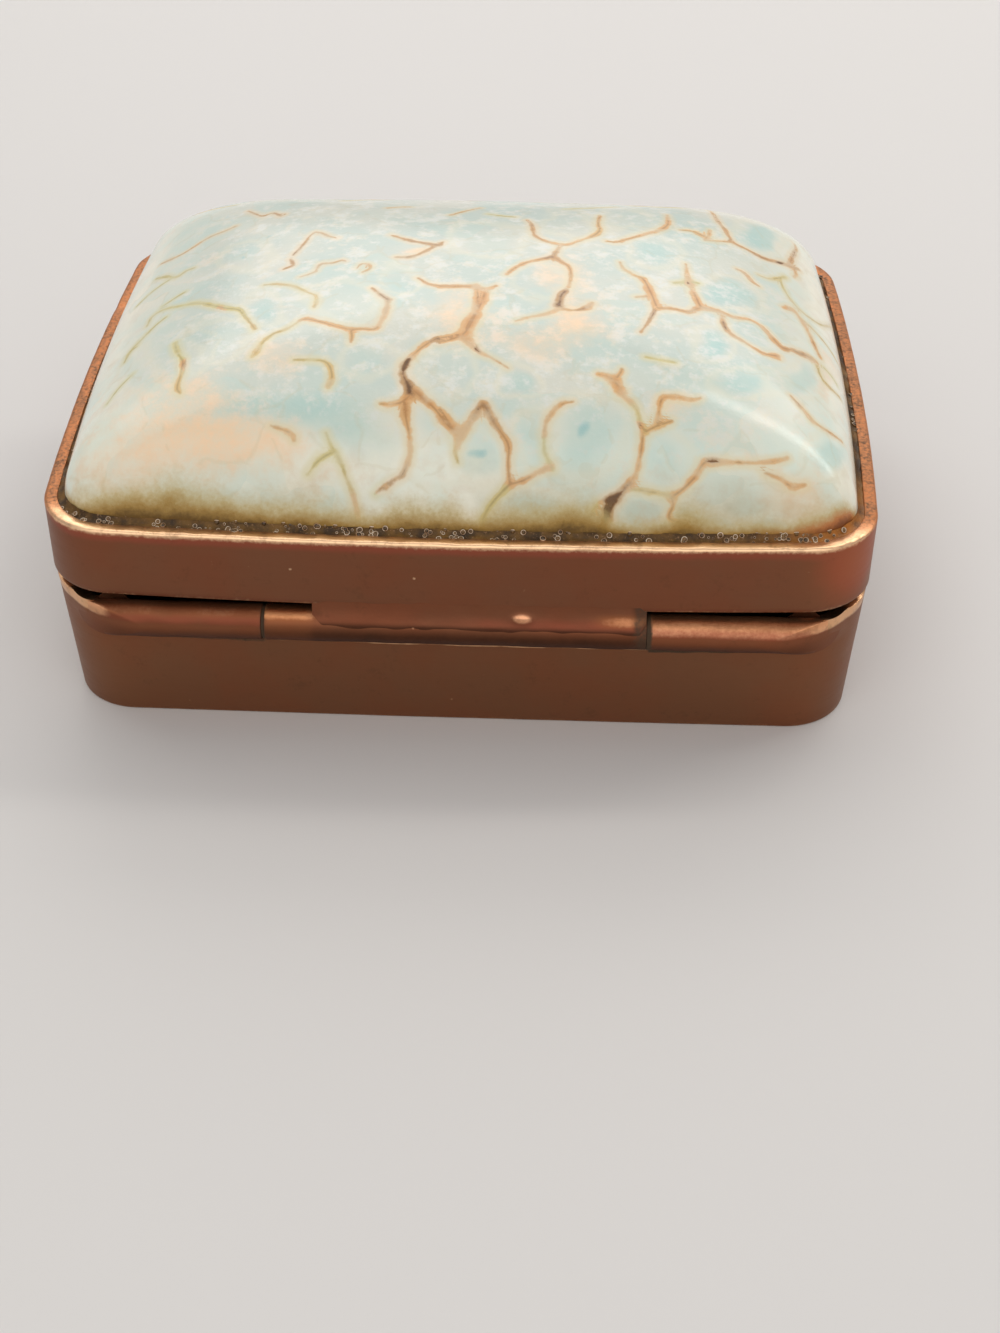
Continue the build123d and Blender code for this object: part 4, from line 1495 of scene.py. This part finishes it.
def ellipse(middle_x, middle_y, half_x, half_y):
    """Distance of the vertices from the middle of an ellipse, 1 on its border."""
    return np.hypot((stone_across_px - middle_x) / half_x, (stone_down_px - middle_y) / half_y)


def circle(middle_x, middle_y, radius):
    """Distance of the vertices from the middle of a circle, 1 on its border."""
    return ellipse(middle_x, middle_y, radius, radius)


print("share of the stone that the camera saw", round(float(seen_share.mean()), 2))

# %% [markdown]
# ## Soft shapes on the stone
# Each kind of shape becomes one painted number. Cells keep the distance to their nearest border, patches
# are laid over each other like thin washes, and the strongest spot or knot wins.

# %% Soft shapes on the stone
def patches(shapes):
    """Soft patches laid over each other."""
    left = np.ones(len(stone_places))
    for *shape, strength in shapes:
        left *= 1 - strength * np.exp(-(ellipse(*shape) ** 2))
    return 1 - left


border = np.full(len(stone_places), 1.0)
blue = patches(blue_patches_px)
for *shape, strength in cells_px:
    away = ellipse(*shape)
    border = np.minimum(border, np.abs(away - 1))
    blue = np.maximum(blue, strength * fall(away, 0.3, 1.1))
spot = np.zeros(len(stone_places))
for *shape, strength in deep_spots_px:
    spot = np.maximum(spot, strength * fall(circle(*shape), 0.0, 1.7))
tone = weighted_tones / np.maximum(weights, 1e-30)
for shape in dark_knots_px:
    tone = np.maximum(tone, fall(circle(*shape), 0.4, 1.3))
peach = patches(peach_patches_px)
paint(
    stone_mesh,
    tone=tone,
    border=border * seen_share + (1 - seen_share),
    blue=blue * seen_share,
    peach=peach * seen_share,
    spot=spot * seen_share,
    seen=seen_share,
)
print("most blue", round(float(blue.max()), 2), "most peach", round(float(peach.max()), 2))

# %% [markdown]
# ## Stain along the foot
# The foot of the stone is stained brown. On the hinge side the stain's height and strength change from
# place to place, so they are noted one by one; elsewhere it stays low and faint. The right corner is
# amber, and a faint beige wash, darker than the body, is painted above the stain on the hinge side,
# thickest right of the middle.

# %% Stain along the foot
# The stain along the front foot: the pixel across, its height in millimetres and its strength there.
stain_notes = np.array([
    (40, 0.5, 0.4), (75, 0.8, 0.7), (105, 1.5, 0.95), (150, 1.5, 1.05), (200, 1.5, 1.05), (235, 1.2, 1.0),
    (320, 1.2, 0.9), (375, 0.8, 0.8), (420, 1.2, 0.95), (480, 1.1, 0.95), (530, 1.4, 1.0), (590, 1.4, 1.05),
    (615, 0.7, 0.9), (650, 0.5, 0.8), (680, 1.2, 1.0), (720, 0.7, 0.85), (790, 0.6, 0.85), (850, 1.4, 1.2),
    (885, 1.8, 1.2),
])
front_wash_places_px = (60, 300, 410, 465, 480, 570, 640, 730, 840)
front_wash_strengths = (0.1, 0.6, 0, 0, 0.6, 1.1, 0.8, 1.2, 0.4)
back_height, back_strength = 0.3, 0.3

noted_px, noted_heights, noted_strengths = stain_notes.T
above_rim = (stone_places[:, 2] - rim_level) / mm
front_foot = rise(-stone_places[:, 1], 12.6 * mm, 14.4 * mm)
tall = np.interp(stone_across_px, noted_px, noted_heights) * front_foot + back_height
tall *= 0.7 + 0.6 * grain(stone_places * (1, 1, 0), 1.6 * mm, 41.0)
strong = np.interp(stone_across_px, noted_px, noted_strengths) * front_foot
strong += back_strength * (1 - front_foot)
haze = np.interp(stone_across_px, front_wash_places_px, front_wash_strengths)
paint(
    stone_mesh,
    stain=np.exp(-((np.maximum(above_rim, 0) / tall) ** 1.3)) * strong,
    amber=glow(stone_places, by_right_corner(2.2 * mm, 1.6 * mm, rim_level), 2.6 * mm),
    haze=haze * front_foot * fall(above_rim, 0.6, 4.6),
)
print("stain is noted at", len(stain_notes), "places")

# %% [markdown]
# ## Patterns of the stone
# Molten glass never mixes evenly. Noises of several sizes stand for that, and they are made first, since
# the body, the veins and the stain all use them. A web of Voronoi cells, swung out of true by one of the
# noises, stands in for the drawn veins where the camera saw nothing.

# %% Noises of the turquoise glass
glass = Finish("turquoise_glass", ior=1.46)
warp = glass.noise(3 * mm, 2, 0.5, 2.0, output="Color")
cloud = glass.noise(4.5 * mm, 3, 0.5, 4.0)
mottle = glass.noise(1.2 * mm, 5, 0.62, 8.0)
cotton = glass.noise(0.45 * mm, 5, 0.7, 12.0)
ragged = glass.noise(0.2 * mm, 3, 0.6, 17.0)
broad = glass.noise(1.8 * mm, 2, 0.5, 23.0)
drift = glass.noise(2.8 * mm, 2, 0.5, 29.0)
knobby = glass.noise(0.7 * mm, 2, 0.5, 37.0)
vein_half = glass.attribute("half")
seen = glass.attribute("seen")

web_size_mm = 3.4
scaled = {"Vector": warp, "Scale": 2.4 * mm}
swung = glass.node("ShaderNodeVectorMath", {"operation": "SCALE"}, scaled)["Vector"]
summed = {0: glass.place(), 1: swung}
moved = glass.node("ShaderNodeVectorMath", {"operation": "ADD"}, summed)["Vector"]
web = glass.cells("DISTANCE_TO_EDGE", moved, web_size_mm * mm)["Distance"] * web_size_mm
chance = glass.chance(glass.cells("F1", moved, web_size_mm * mm))
print("nodes for the noises", len(glass.tree.nodes))

# %% [markdown]
# ## Body of the stone
# The body is pale aqua and mint, painted darker towards the crown: painted shade that evens out the
# stronger light on top. Cotton white on the crown is partly a painted glare. Bluer cells have cream
# borders, and there are peach patches. It is built like a watercolour: one wash is mixed over the last,
# each held back by a painted number or by noise.

# %% Body of the turquoise glass
def glass_body():
    """The pale body: cream and mint with painted shade at the crown, blue cells, cotton white with some
    painted glare, peach, a beige wash and deep spots.
    """
    # Cream and mint are painted darker towards the crown: painted shade against the stronger light on top.
    crown = glass.rise(glass.height(), 14.6 * mm, 18.0 * mm)
    cream = glass.mix(linear(251, 245, 224), linear(218, 218, 203), crown)
    mint = glass.mix(linear(232, 240, 224), linear(203, 214, 203), crown)
    blue = glass.attribute("blue") * (0.75 + mottle * 0.5)
    # Cotton white grows towards the crown, where it is partly a painted glare.
    white = glass.rise(cotton * 0.6 + mottle * 0.7, 0.62, 0.82) * (0.12 + 0.72 * crown)
    peach = glass.rise(glass.attribute("peach") + (mottle - 0.5) * 0.9 + (cloud - 0.5) * 0.6, 0.14, 1.1)
    rim = glass.fall(glass.attribute("border") + (ragged - 0.5) * 0.12, 0.02, 0.3)
    spot = glass.rise(glass.attribute("spot") + (cotton - 0.5) * 0.6, 0.2, 1.1)
    return glass.washes(
        cream,
        (mint, glass.rise(cloud, 0.36, 0.64)),
        (linear(196, 222, 212), glass.rise(chance, 0.5, 0.95) * (0.75 - seen * 0.5)),
        (linear(240, 229, 204), glass.rise(mottle, 0.48, 0.68) * 0.6),
        (linear(166, 210, 204), glass.rise(blue, 0.05, 1.25)),
        (linear(230, 232, 224), white),
        (linear(255, 219, 178), peach * (0.6 + cotton * 0.75)),
        # A darker beige wash painted above the front foot.
        (linear(188, 182, 148), glass.attribute("haze") * (0.25 + mottle * 0.6)),
        (linear(236, 230, 204), rim * 0.34),
        (linear(120, 188, 190), spot * 0.55),
    )


body_colour = glass_body()
print("nodes with the body", len(glass.tree.nodes))

# %% [markdown]
# ## Veins in the shader
# The drawn distance is roughened by noise and joined by a web of Voronoi cells where the camera saw
# nothing. From it come a halo, the vein and its deeper core, coloured by the painted tone from olive
# over ochre to dark brown. A vein thinner than the mesh is found by its way to the middle line.

# %% Veins of the turquoise glass
def vein_line():
    """Distance to the nearest vein in millimetres, below zero inside it, and from its middle line."""
    wobble = (ragged - 0.5) * 0.1 + (mottle - 0.5) * 0.09 + (knobby - 0.5) * (0.08 + vein_half * 1.4)
    unseen_web = web - 0.14 + glass.rise(broad, 0.5, 0.62) * 0.6 + seen * 3
    drawn = glass.attribute("vein")
    way = {"Vector": glass.attribute("way", "Vector")}
    from_line = glass.node("ShaderNodeVectorMath", {"operation": "LENGTH"}, way)["Value"]
    slack = glass.fall(drawn, 0.1, 0.3) * 0.22
    thin = (from_line - vein_half).largest(drawn - slack)
    return drawn.smallest(thin).smallest(unseen_web) + wobble, from_line, wobble


def glass_veins(colour):
    """Lays the veins over the body, and hands back the colour and where the veins are."""
    distance, from_line, wobble = vein_line()
    faint_web = glass.fall(web + wobble + glass.rise(broad, 0.46, 0.56) * 0.8, 0.02, 0.14)
    colour = glass.mix(colour, linear(204, 188, 140), faint_web * (0.3 - seen * 0.16))
    tone = glass.attribute("tone") * seen + (1 - seen) * glass.rise(cloud, 0.3, 0.7) + (drift - 0.5) * 0.5
    halo = glass.fall(distance, 0.0, 0.45)
    colour = glass.mix(colour, glass.mix(linear(224, 218, 168), linear(242, 216, 176), tone), halo * 0.6)
    vein = glass.fall(distance, -0.07, 0.09)
    core = glass.fall(distance + (broad - 0.5) * 0.3, -0.26, -0.02)
    ochre = glass.mix(linear(218, 202, 138), linear(228, 178, 120), glass.rise(tone, 0.26, 0.6))
    deep = glass.mix(linear(182, 162, 90), linear(210, 146, 78), glass.rise(tone, 0.26, 0.6))
    brown = glass.mix(linear(128, 110, 62), linear(92, 62, 34), glass.rise(tone, 0.2, 0.6))
    dark = glass.rise(tone, 0.62, 1.0) * (0.35 + core * 0.6)
    slim = glass.fall(vein_half, 0.05, 0.13) * seen * 0.24
    thread = glass.fall(from_line, 0.02, 0.09) * glass.rise(broad + (ragged - 0.5) * 0.2, 0.46, 0.56) * seen
    ochre = glass.mix(ochre, deep, core * 0.8)
    ochre = glass.mix(ochre, brown, dark.largest(slim).largest(thread * 0.3))
    faded = 0.52 + glass.rise(broad + (mottle - 0.5) * 0.6, 0.38, 0.58) * 0.42
    return glass.mix(colour, ochre, vein * faded.largest(dark * 1.4)), vein


veined_colour, vein = glass_veins(body_colour)
print("nodes with the veins", len(glass.tree.nodes))

# %% [markdown]
# ## Stain and polish
# The stain goes over everything, in three tones that darken towards the foot, and more amber at the right
# corner. All of it lies under a worn polish, so the shine is even, with faint ripples and shallow
# pits along the veins.

# %% Stain and polish of the turquoise glass
def glass_stain(colour, foot):
    """Lays the stain over a colour, in three tones that darken towards the foot."""
    amber = glass.attribute("amber")
    middle_tone = glass.mix(linear(166, 126, 46), linear(196, 108, 40), amber)
    dark_tone = glass.mix(linear(94, 66, 14), linear(120, 62, 18), amber)
    return glass.washes(
        colour,
        (linear(206, 182, 118), glass.rise(foot, 0.12, 0.6) * 0.8),
        (middle_tone, glass.rise(foot, 0.4, 0.8) * 0.9),
        (dark_tone, glass.rise(foot, 0.68, 1.0) * 0.9),
    )


foot = glass.attribute("stain") + (mottle - 0.5) * 0.4 + (ragged - 0.5) * 0.2
stone_colour = glass_stain(veined_colour, foot)
shine = 0.13 + mottle * 0.08 + vein * 0.1 + glass.rise(foot, 0.4, 0.9) * 0.15
relief = 1 - vein * 0.45 + mottle * 0.3 + cotton * 0.14 + ragged * 0.5
normal = glass.bump(relief, relief_depth, 0.6)
turquoise = glass.feed(base_color=stone_colour, roughness=shine, normal=normal)
add_piece("stone", stone_mesh, "lid", "turquoise_glass", turquoise, "glass_cabochon")

# %% [markdown]
# ## Cement
# The stone sits in dark amber cement that foamed as it set. Its finish is cloudy, with pale grit, and
# clearer and more amber at the right corner, where a painted number says so.

# %% Finish of the cement
def make_cement():
    """Amber cement, dark and cloudy, with pale grit."""
    finish = Finish("amber_cement", ior=1.35)
    cloud = finish.noise(1.2 * mm, 4, 0.6, 3.0)
    grit = finish.noise(0.12 * mm, 3, 0.6, 6.0)
    amber = finish.attribute("amber")
    colour = finish.mix(linear(62, 42, 16), linear(126, 90, 38), finish.rise(cloud, 0.35, 0.7))
    colour = finish.mix(colour, linear(182, 112, 42), amber * finish.rise(cloud, 0.2, 0.6))
    colour = finish.mix(colour, linear(190, 146, 104), finish.rise(grit, 0.58, 0.72) * 0.4)
    normal = finish.bump(grit, relief_depth, 0.8)
    return finish.feed(base_color=colour, roughness=0.3 + cloud * 0.3, normal=normal)


amber_cement = make_cement()
print("made", amber_cement.name)

# %% [markdown]
# ## Band of cement
# The cement shows as a thin uneven line inside the rim. A band fills the gap, higher where it wets the
# metal and the glass. Where it foamed it carries a painted number, for the bubbles that come next.

# %% Cement band
cement_points = (110, 30, 80)
gap_width = stone_inset - wall_thickness
under_metal = wall_thickness - 0.04 * mm
under_glass = stone_inset + 0.12 * mm
cement_foot = cement_low.z + 0.3 * mm
across_gap = ((0.2, -0.1), (0.45, -0.06), (0.7, 0.0), (0.9, 0.09))
cement_profile = [
    (under_metal, cement_foot),
    (under_metal, rim_level - 0.13 * mm),
    *((wall_thickness + share * gap_width, rim_level + over_mm * mm) for share, over_mm in across_gap),
    (stone_inset + 0.02 * mm, rim_level + 0.2 * mm),
    (under_glass, rim_level + 0.1 * mm),
    (under_glass, cement_foot),
]
cement_loops = [lift(lid_outline(inset, cement_points), level) for inset, level in cement_profile]
cement_mesh = mesh_from_loops("cement_line", cement_loops, closed_profile=True)
places = vertex_places(cement_mesh)
free = places[:, 2] > rim_level - 0.2 * mm
fine_lumps = (grain(places, 0.5 * mm, 1.0) - 0.5) * 0.16
broad_lumps = (grain(places, 2.5 * mm, 7.0) - 0.5) * 0.12
places[:, 2] += free * (fine_lumps + broad_lumps) * mm
move_vertices(cement_mesh, places)

foaming_side = rise(-places[:, 1], 13.5 * mm, 14.8 * mm)
foam_patches = rise(grain(places, 2.2 * mm, 9.0), 0.35, 0.6)
paint(
    cement_mesh,
    amber=glow(places, by_right_corner(1.5 * mm, 1.5 * mm, cement_high.z), 3.2 * mm),
    froth=free * (0.15 + 0.85 * foaming_side) * (0.2 + 0.8 * foam_patches),
)
add_piece("cement_line", finish_mesh(cement_mesh, 50), "lid", "cement", amber_cement, "cement_bed")

# %% [markdown]
# ## Bubbles in the cement
# The bubbles repeat hundreds of times over a surface, which is the work of Geometry Nodes. Points are
# strewn over the cement where the painted froth says so, and each gets a small ball with a ring painted
# bright, a painted highlight where a bubble's lip would catch the light. Ball and ring get their two
# materials before they are strewn, and the tree ends by making the copies real.

# %% Tree of the bubbles
bubble_inputs = {
    "Surface": "NodeSocketGeometry",
    "Per square metre": "NodeSocketFloat",
    "Smallest": "NodeSocketFloat",
    "Largest": "NodeSocketFloat",
    "Seed": "NodeSocketInt",
    "Skin": "NodeSocketMaterial",
    "Lip": "NodeSocketMaterial",
}


def one_bubble(maker, skin, lip):
    """A ball of radius 1 with a ring round its top, each in its own material; the ring's is a painted
    highlight.
    """
    ball = maker.node("GeometryNodeMeshIcoSphere", inputs={"Radius": 0.96, "Subdivisions": 2})["Mesh"]
    ball = maker.node("GeometryNodeSetMaterial", inputs={"Geometry": ball, "Material": skin})["Geometry"]
    round_curve = "GeometryNodeCurvePrimitiveCircle"
    path = maker.node(round_curve, inputs={"Resolution": 16, "Radius": 0.9})["Curve"]
    section = maker.node(round_curve, inputs={"Resolution": 6, "Radius": 0.16})["Curve"]
    ring = maker.node("GeometryNodeCurveToMesh", inputs={"Curve": path, "Profile Curve": section})["Mesh"]
    raised = {"Geometry": ring, "Translation": (0, 0, 0.42)}
    ring = maker.node("GeometryNodeTransform", inputs=raised)["Geometry"]
    ring = maker.node("GeometryNodeSetMaterial", inputs={"Geometry": ring, "Material": lip})["Geometry"]
    return maker.node("GeometryNodeJoinGeometry", inputs={"Geometry": [ring, ball]})["Geometry"]


def make_bubble_tree():
    """Strews bubbles over a surface, where the painted froth says so."""
    tree = bpy.data.node_groups.new("bubbles", "GeometryNodeTree")
    for name, kind in bubble_inputs.items():
        tree.interface.new_socket(name, in_out="INPUT", socket_type=kind)
    tree.interface.new_socket("Bubbles", in_out="OUTPUT", socket_type="NodeSocketGeometry")
    maker = NodeMaker(tree)
    given = maker.node("NodeGroupInput")
    number = {"data_type": "FLOAT"}
    froth = maker.node("GeometryNodeInputNamedAttribute", number, {"Name": "froth"})["Attribute"]
    strewn = maker.node(
        "GeometryNodeDistributePointsOnFaces",
        {"distribute_method": "RANDOM"},
        {"Mesh": given["Surface"], "Density": given["Per square metre"] * froth, "Seed": given["Seed"]},
    )
    bubble = one_bubble(maker, given["Skin"], given["Lip"])
    limits = {"Min": given["Smallest"], "Max": given["Largest"], "Seed": given["Seed"]}
    size = maker.node("FunctionNodeRandomValue", number, limits)["Value"]
    placing = {"Points": strewn["Points"], "Instance": bubble, "Rotation": strewn["Rotation"], "Scale": size}
    placed = maker.node("GeometryNodeInstanceOnPoints", inputs=placing)["Instances"]
    real = maker.node("GeometryNodeRealizeInstances", inputs={"Geometry": placed})["Geometry"]
    smooth = maker.node("GeometryNodeSetShadeSmooth", inputs={"Geometry": real})["Geometry"]
    maker.node("NodeGroupOutput", inputs={"Bubbles": smooth})
    return tree


bubble_tree = make_bubble_tree()
print("nodes in the tree of the bubbles", len(bubble_tree.nodes))

# %% [markdown]
# ## From the tree to a mesh
# A tree works through a modifier on an object. Each input is set by its socket's identifier, before the
# object is first looked at. The result is read as a plain mesh, so the piece keeps no modifier.

# %% Bubbles
def grown_mesh(source, tree, **inputs):
    """The plain mesh that a geometry tree makes from a source mesh."""
    holder = bpy.data.objects.new("holder", source)
    scene.collection.objects.link(holder)
    modifier = holder.modifiers.new("grow", "NODES")
    modifier.node_group = tree
    for entry in tree.interface.items_tree:
        key = entry.name.lower().replace(" ", "_")
        if entry.in_out == "INPUT" and key in inputs:
            modifier[entry.identifier] = inputs[key]
    result = bpy.data.meshes.new_from_object(holder.evaluated_get(bpy.context.evaluated_depsgraph_get()))
    bpy.data.objects.remove(holder)
    return result


def make_bubble_finish(name, dark, light):
    """A wet skin between two tones."""
    finish = Finish(name, ior=1.5)
    patch = finish.noise(0.4 * mm, 2, 0.5, 5.0)
    colour = finish.mix(dark, light, finish.rise(patch, 0.35, 0.65))
    return finish.feed(base_color=colour, roughness=0.06 + patch * 0.1)


bubble_skin = make_bubble_finish("bubble_skin", linear(70, 50, 26), linear(128, 94, 52))
# The lip's tones are a painted highlight round each bubble.
bubble_lip = make_bubble_finish("bubble_lip", linear(170, 130, 92), linear(246, 226, 200))
bubble_mesh = grown_mesh(
    cement_mesh,
    bubble_tree,
    per_square_metre=10e6,
    smallest=0.04 * mm,
    largest=0.155 * mm,
    seed=7,
    skin=bubble_skin,
    lip=bubble_lip,
)
add_piece("cement_bubbles", bubble_mesh, "lid", "cement", bubble_skin)

# %% [markdown]
# ## Thumb lip
# A closed lid this snug needs something to lift it by, so a small crescent stands out from the foot of
# its band on the opening side, away from the hinge. It is a row of rounded sections that grow out of the
# wall and back into it.

# %% Thumb lip
lip_squareness = 0.45
lip_root = 0.3 * mm


def lip_section(x):
    """Rounded section of the lip at a place along the wall."""
    wall = float(long_side_y(x))
    reach = (lip_high.y - lid_high.y) * math.sqrt(max(1 - (x / lip_high.x) ** 2, 0))
    tall = (lip_high.z - lip_low.z) / 2
    middle = (lip_high.z + lip_low.z) / 2
    root = [(wall - lip_root, middle - tall), (wall, middle - tall)]
    angles = np.linspace(-math.pi / 2, math.pi / 2, 13)
    nose = [(wall + reach * abs(math.cos(a)) ** lip_squareness, middle + tall * math.sin(a)) for a in angles]
    section = np.array(root + nose + [(wall, middle + tall), (wall - lip_root, middle + tall)])
    return np.column_stack([np.full(len(section), x), section])


lip_places = np.sin(np.linspace(-math.pi / 2, math.pi / 2, 48)) * lip_high.x * 0.999
lip_mesh = mesh_from_loops("lip", [lip_section(x) for x in lip_places])
places = vertex_places(lip_mesh)
paint(
    lip_mesh,
    wear=0.35 + 0.6 * rise(places[:, 1], lid_high.y + 0.3 * mm, lip_high.y),
    dirt=0.7 * fall(places[:, 1], lid_high.y - 0.1 * mm, lid_high.y + 0.15 * mm),
)
add_piece("lip", finish_mesh(lip_mesh, 50), "lid", "lid_brass", lid_brass, "thumb_lip")

# %% [markdown]
# ## Pieces kept from the solids
# The floor, the collar, the rest, the plate and the pin have the right shape already. They only need
# their finish, which goes into the material slots that they have.

# %% Finishes of the kept pieces
kept_finishes = {
    "base_floor": base_brass,
    "closing_collar": gilt_brass,
    "stamp_rest": gilt_brass,
    "lid_plate": gilt_brass,
    "hinge_pin": pin_steel,
}
for node_name, material in kept_finishes.items():
    node_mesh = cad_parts[node_name].data
    node_mesh.materials.clear()
    node_mesh.materials.append(material)
    print(node_name, "is finished in", material.name)

# %% [markdown]
# ## Table and sky
# The box stands on a plain pale table, which is staged, so it belongs to the picture and not to the part.
# The sky is even light that fills the shadows, with a slightly brighter backdrop for reflections.

# %% Table and sky
table_half = 1500 * mm
sky_tone = (0.95, 0.97, 1.0, 1)


def add_table():
    """A large flat table under the box."""
    half = table_half
    corners = [(-half, -half, 0), (half, -half, 0), (half, half, 0), (-half, half, 0)]
    mesh = bpy.data.meshes.new("table")
    mesh.from_pydata(corners, [], [(0, 1, 2, 3)])
    finish = Finish("pale_table", base_color=(*linear(222, 218, 214), 1), roughness=0.7)
    mesh.materials.append(finish.material)
    table = bpy.data.objects.new("table", mesh)
    scene.collection.objects.link(table)


def add_sky(fill, backdrop):
    """Even light from all round, and a pale backdrop for what looks at it directly."""
    world = bpy.data.worlds.new("studio")
    world.use_nodes = True
    maker = NodeMaker(world.node_tree)
    maker.tree.nodes.clear()
    path = maker.node("ShaderNodeLightPath")
    direct = path["Is Camera Ray"].largest(path["Is Glossy Ray"]).largest(path["Is Transmission Ray"])
    strength = fill + direct * (backdrop - fill)
    sky = maker.node("ShaderNodeBackground", inputs={"Color": sky_tone, "Strength": strength})
    maker.node("ShaderNodeOutputWorld", inputs={"Surface": sky["Background"]})
    scene.world = world


add_table()
add_sky(fill=0.4, backdrop=0.5)
print("the table is", 2 * table_half, "m wide")

# %% [markdown]
# ## Lamps
# Large lamps give soft light, as in the photograph. One high on the left is the key, one at the back
# brightens the rim and the crown, and the largest, over the camera, lights the hinge side. A narrow one
# on the right draws the soft streak along the stone's hip. The levels add up to about one, so a
# colour renders about as written.

# %% Lamps
lamp_target = Vector((0, 0, 10 * mm))


def add_lamp(name, place_mm, size_mm, watts, colour, roll_degrees=0):
    """A soft rectangular lamp that looks at the box, rolled about its own line of sight."""
    data = bpy.data.lights.new(name, "AREA")
    data.shape = "RECTANGLE"
    data.size = size_mm[0] * mm
    data.size_y = size_mm[1] * mm
    data.energy = watts
    data.color = colour
    lamp = bpy.data.objects.new(name, data)
    place = Vector(place_mm) * mm
    turn = (lamp_target - place).to_track_quat("-Z", "Y").to_matrix().to_4x4()
    roll = Matrix.Rotation(math.radians(roll_degrees), 4, "Z")
    lamp.matrix_world = Matrix.Translation(place) @ turn @ roll
    scene.collection.objects.link(lamp)
    print(name, "lamp at", place_mm, "mm")


add_lamp("key", (-95, 150, 300), (300, 300), 0.3, (1.0, 0.98, 0.95))
add_lamp("back", (40, 330, 240), (480, 200), 0.44, (1.0, 0.98, 0.96))
add_lamp("front", (0, -340, 320), (760, 420), 0.86, (1.0, 0.98, 0.96))
add_lamp("streak", (185, 112, 224), (30, 250), 0.17, (1.0, 0.97, 0.93), -34)
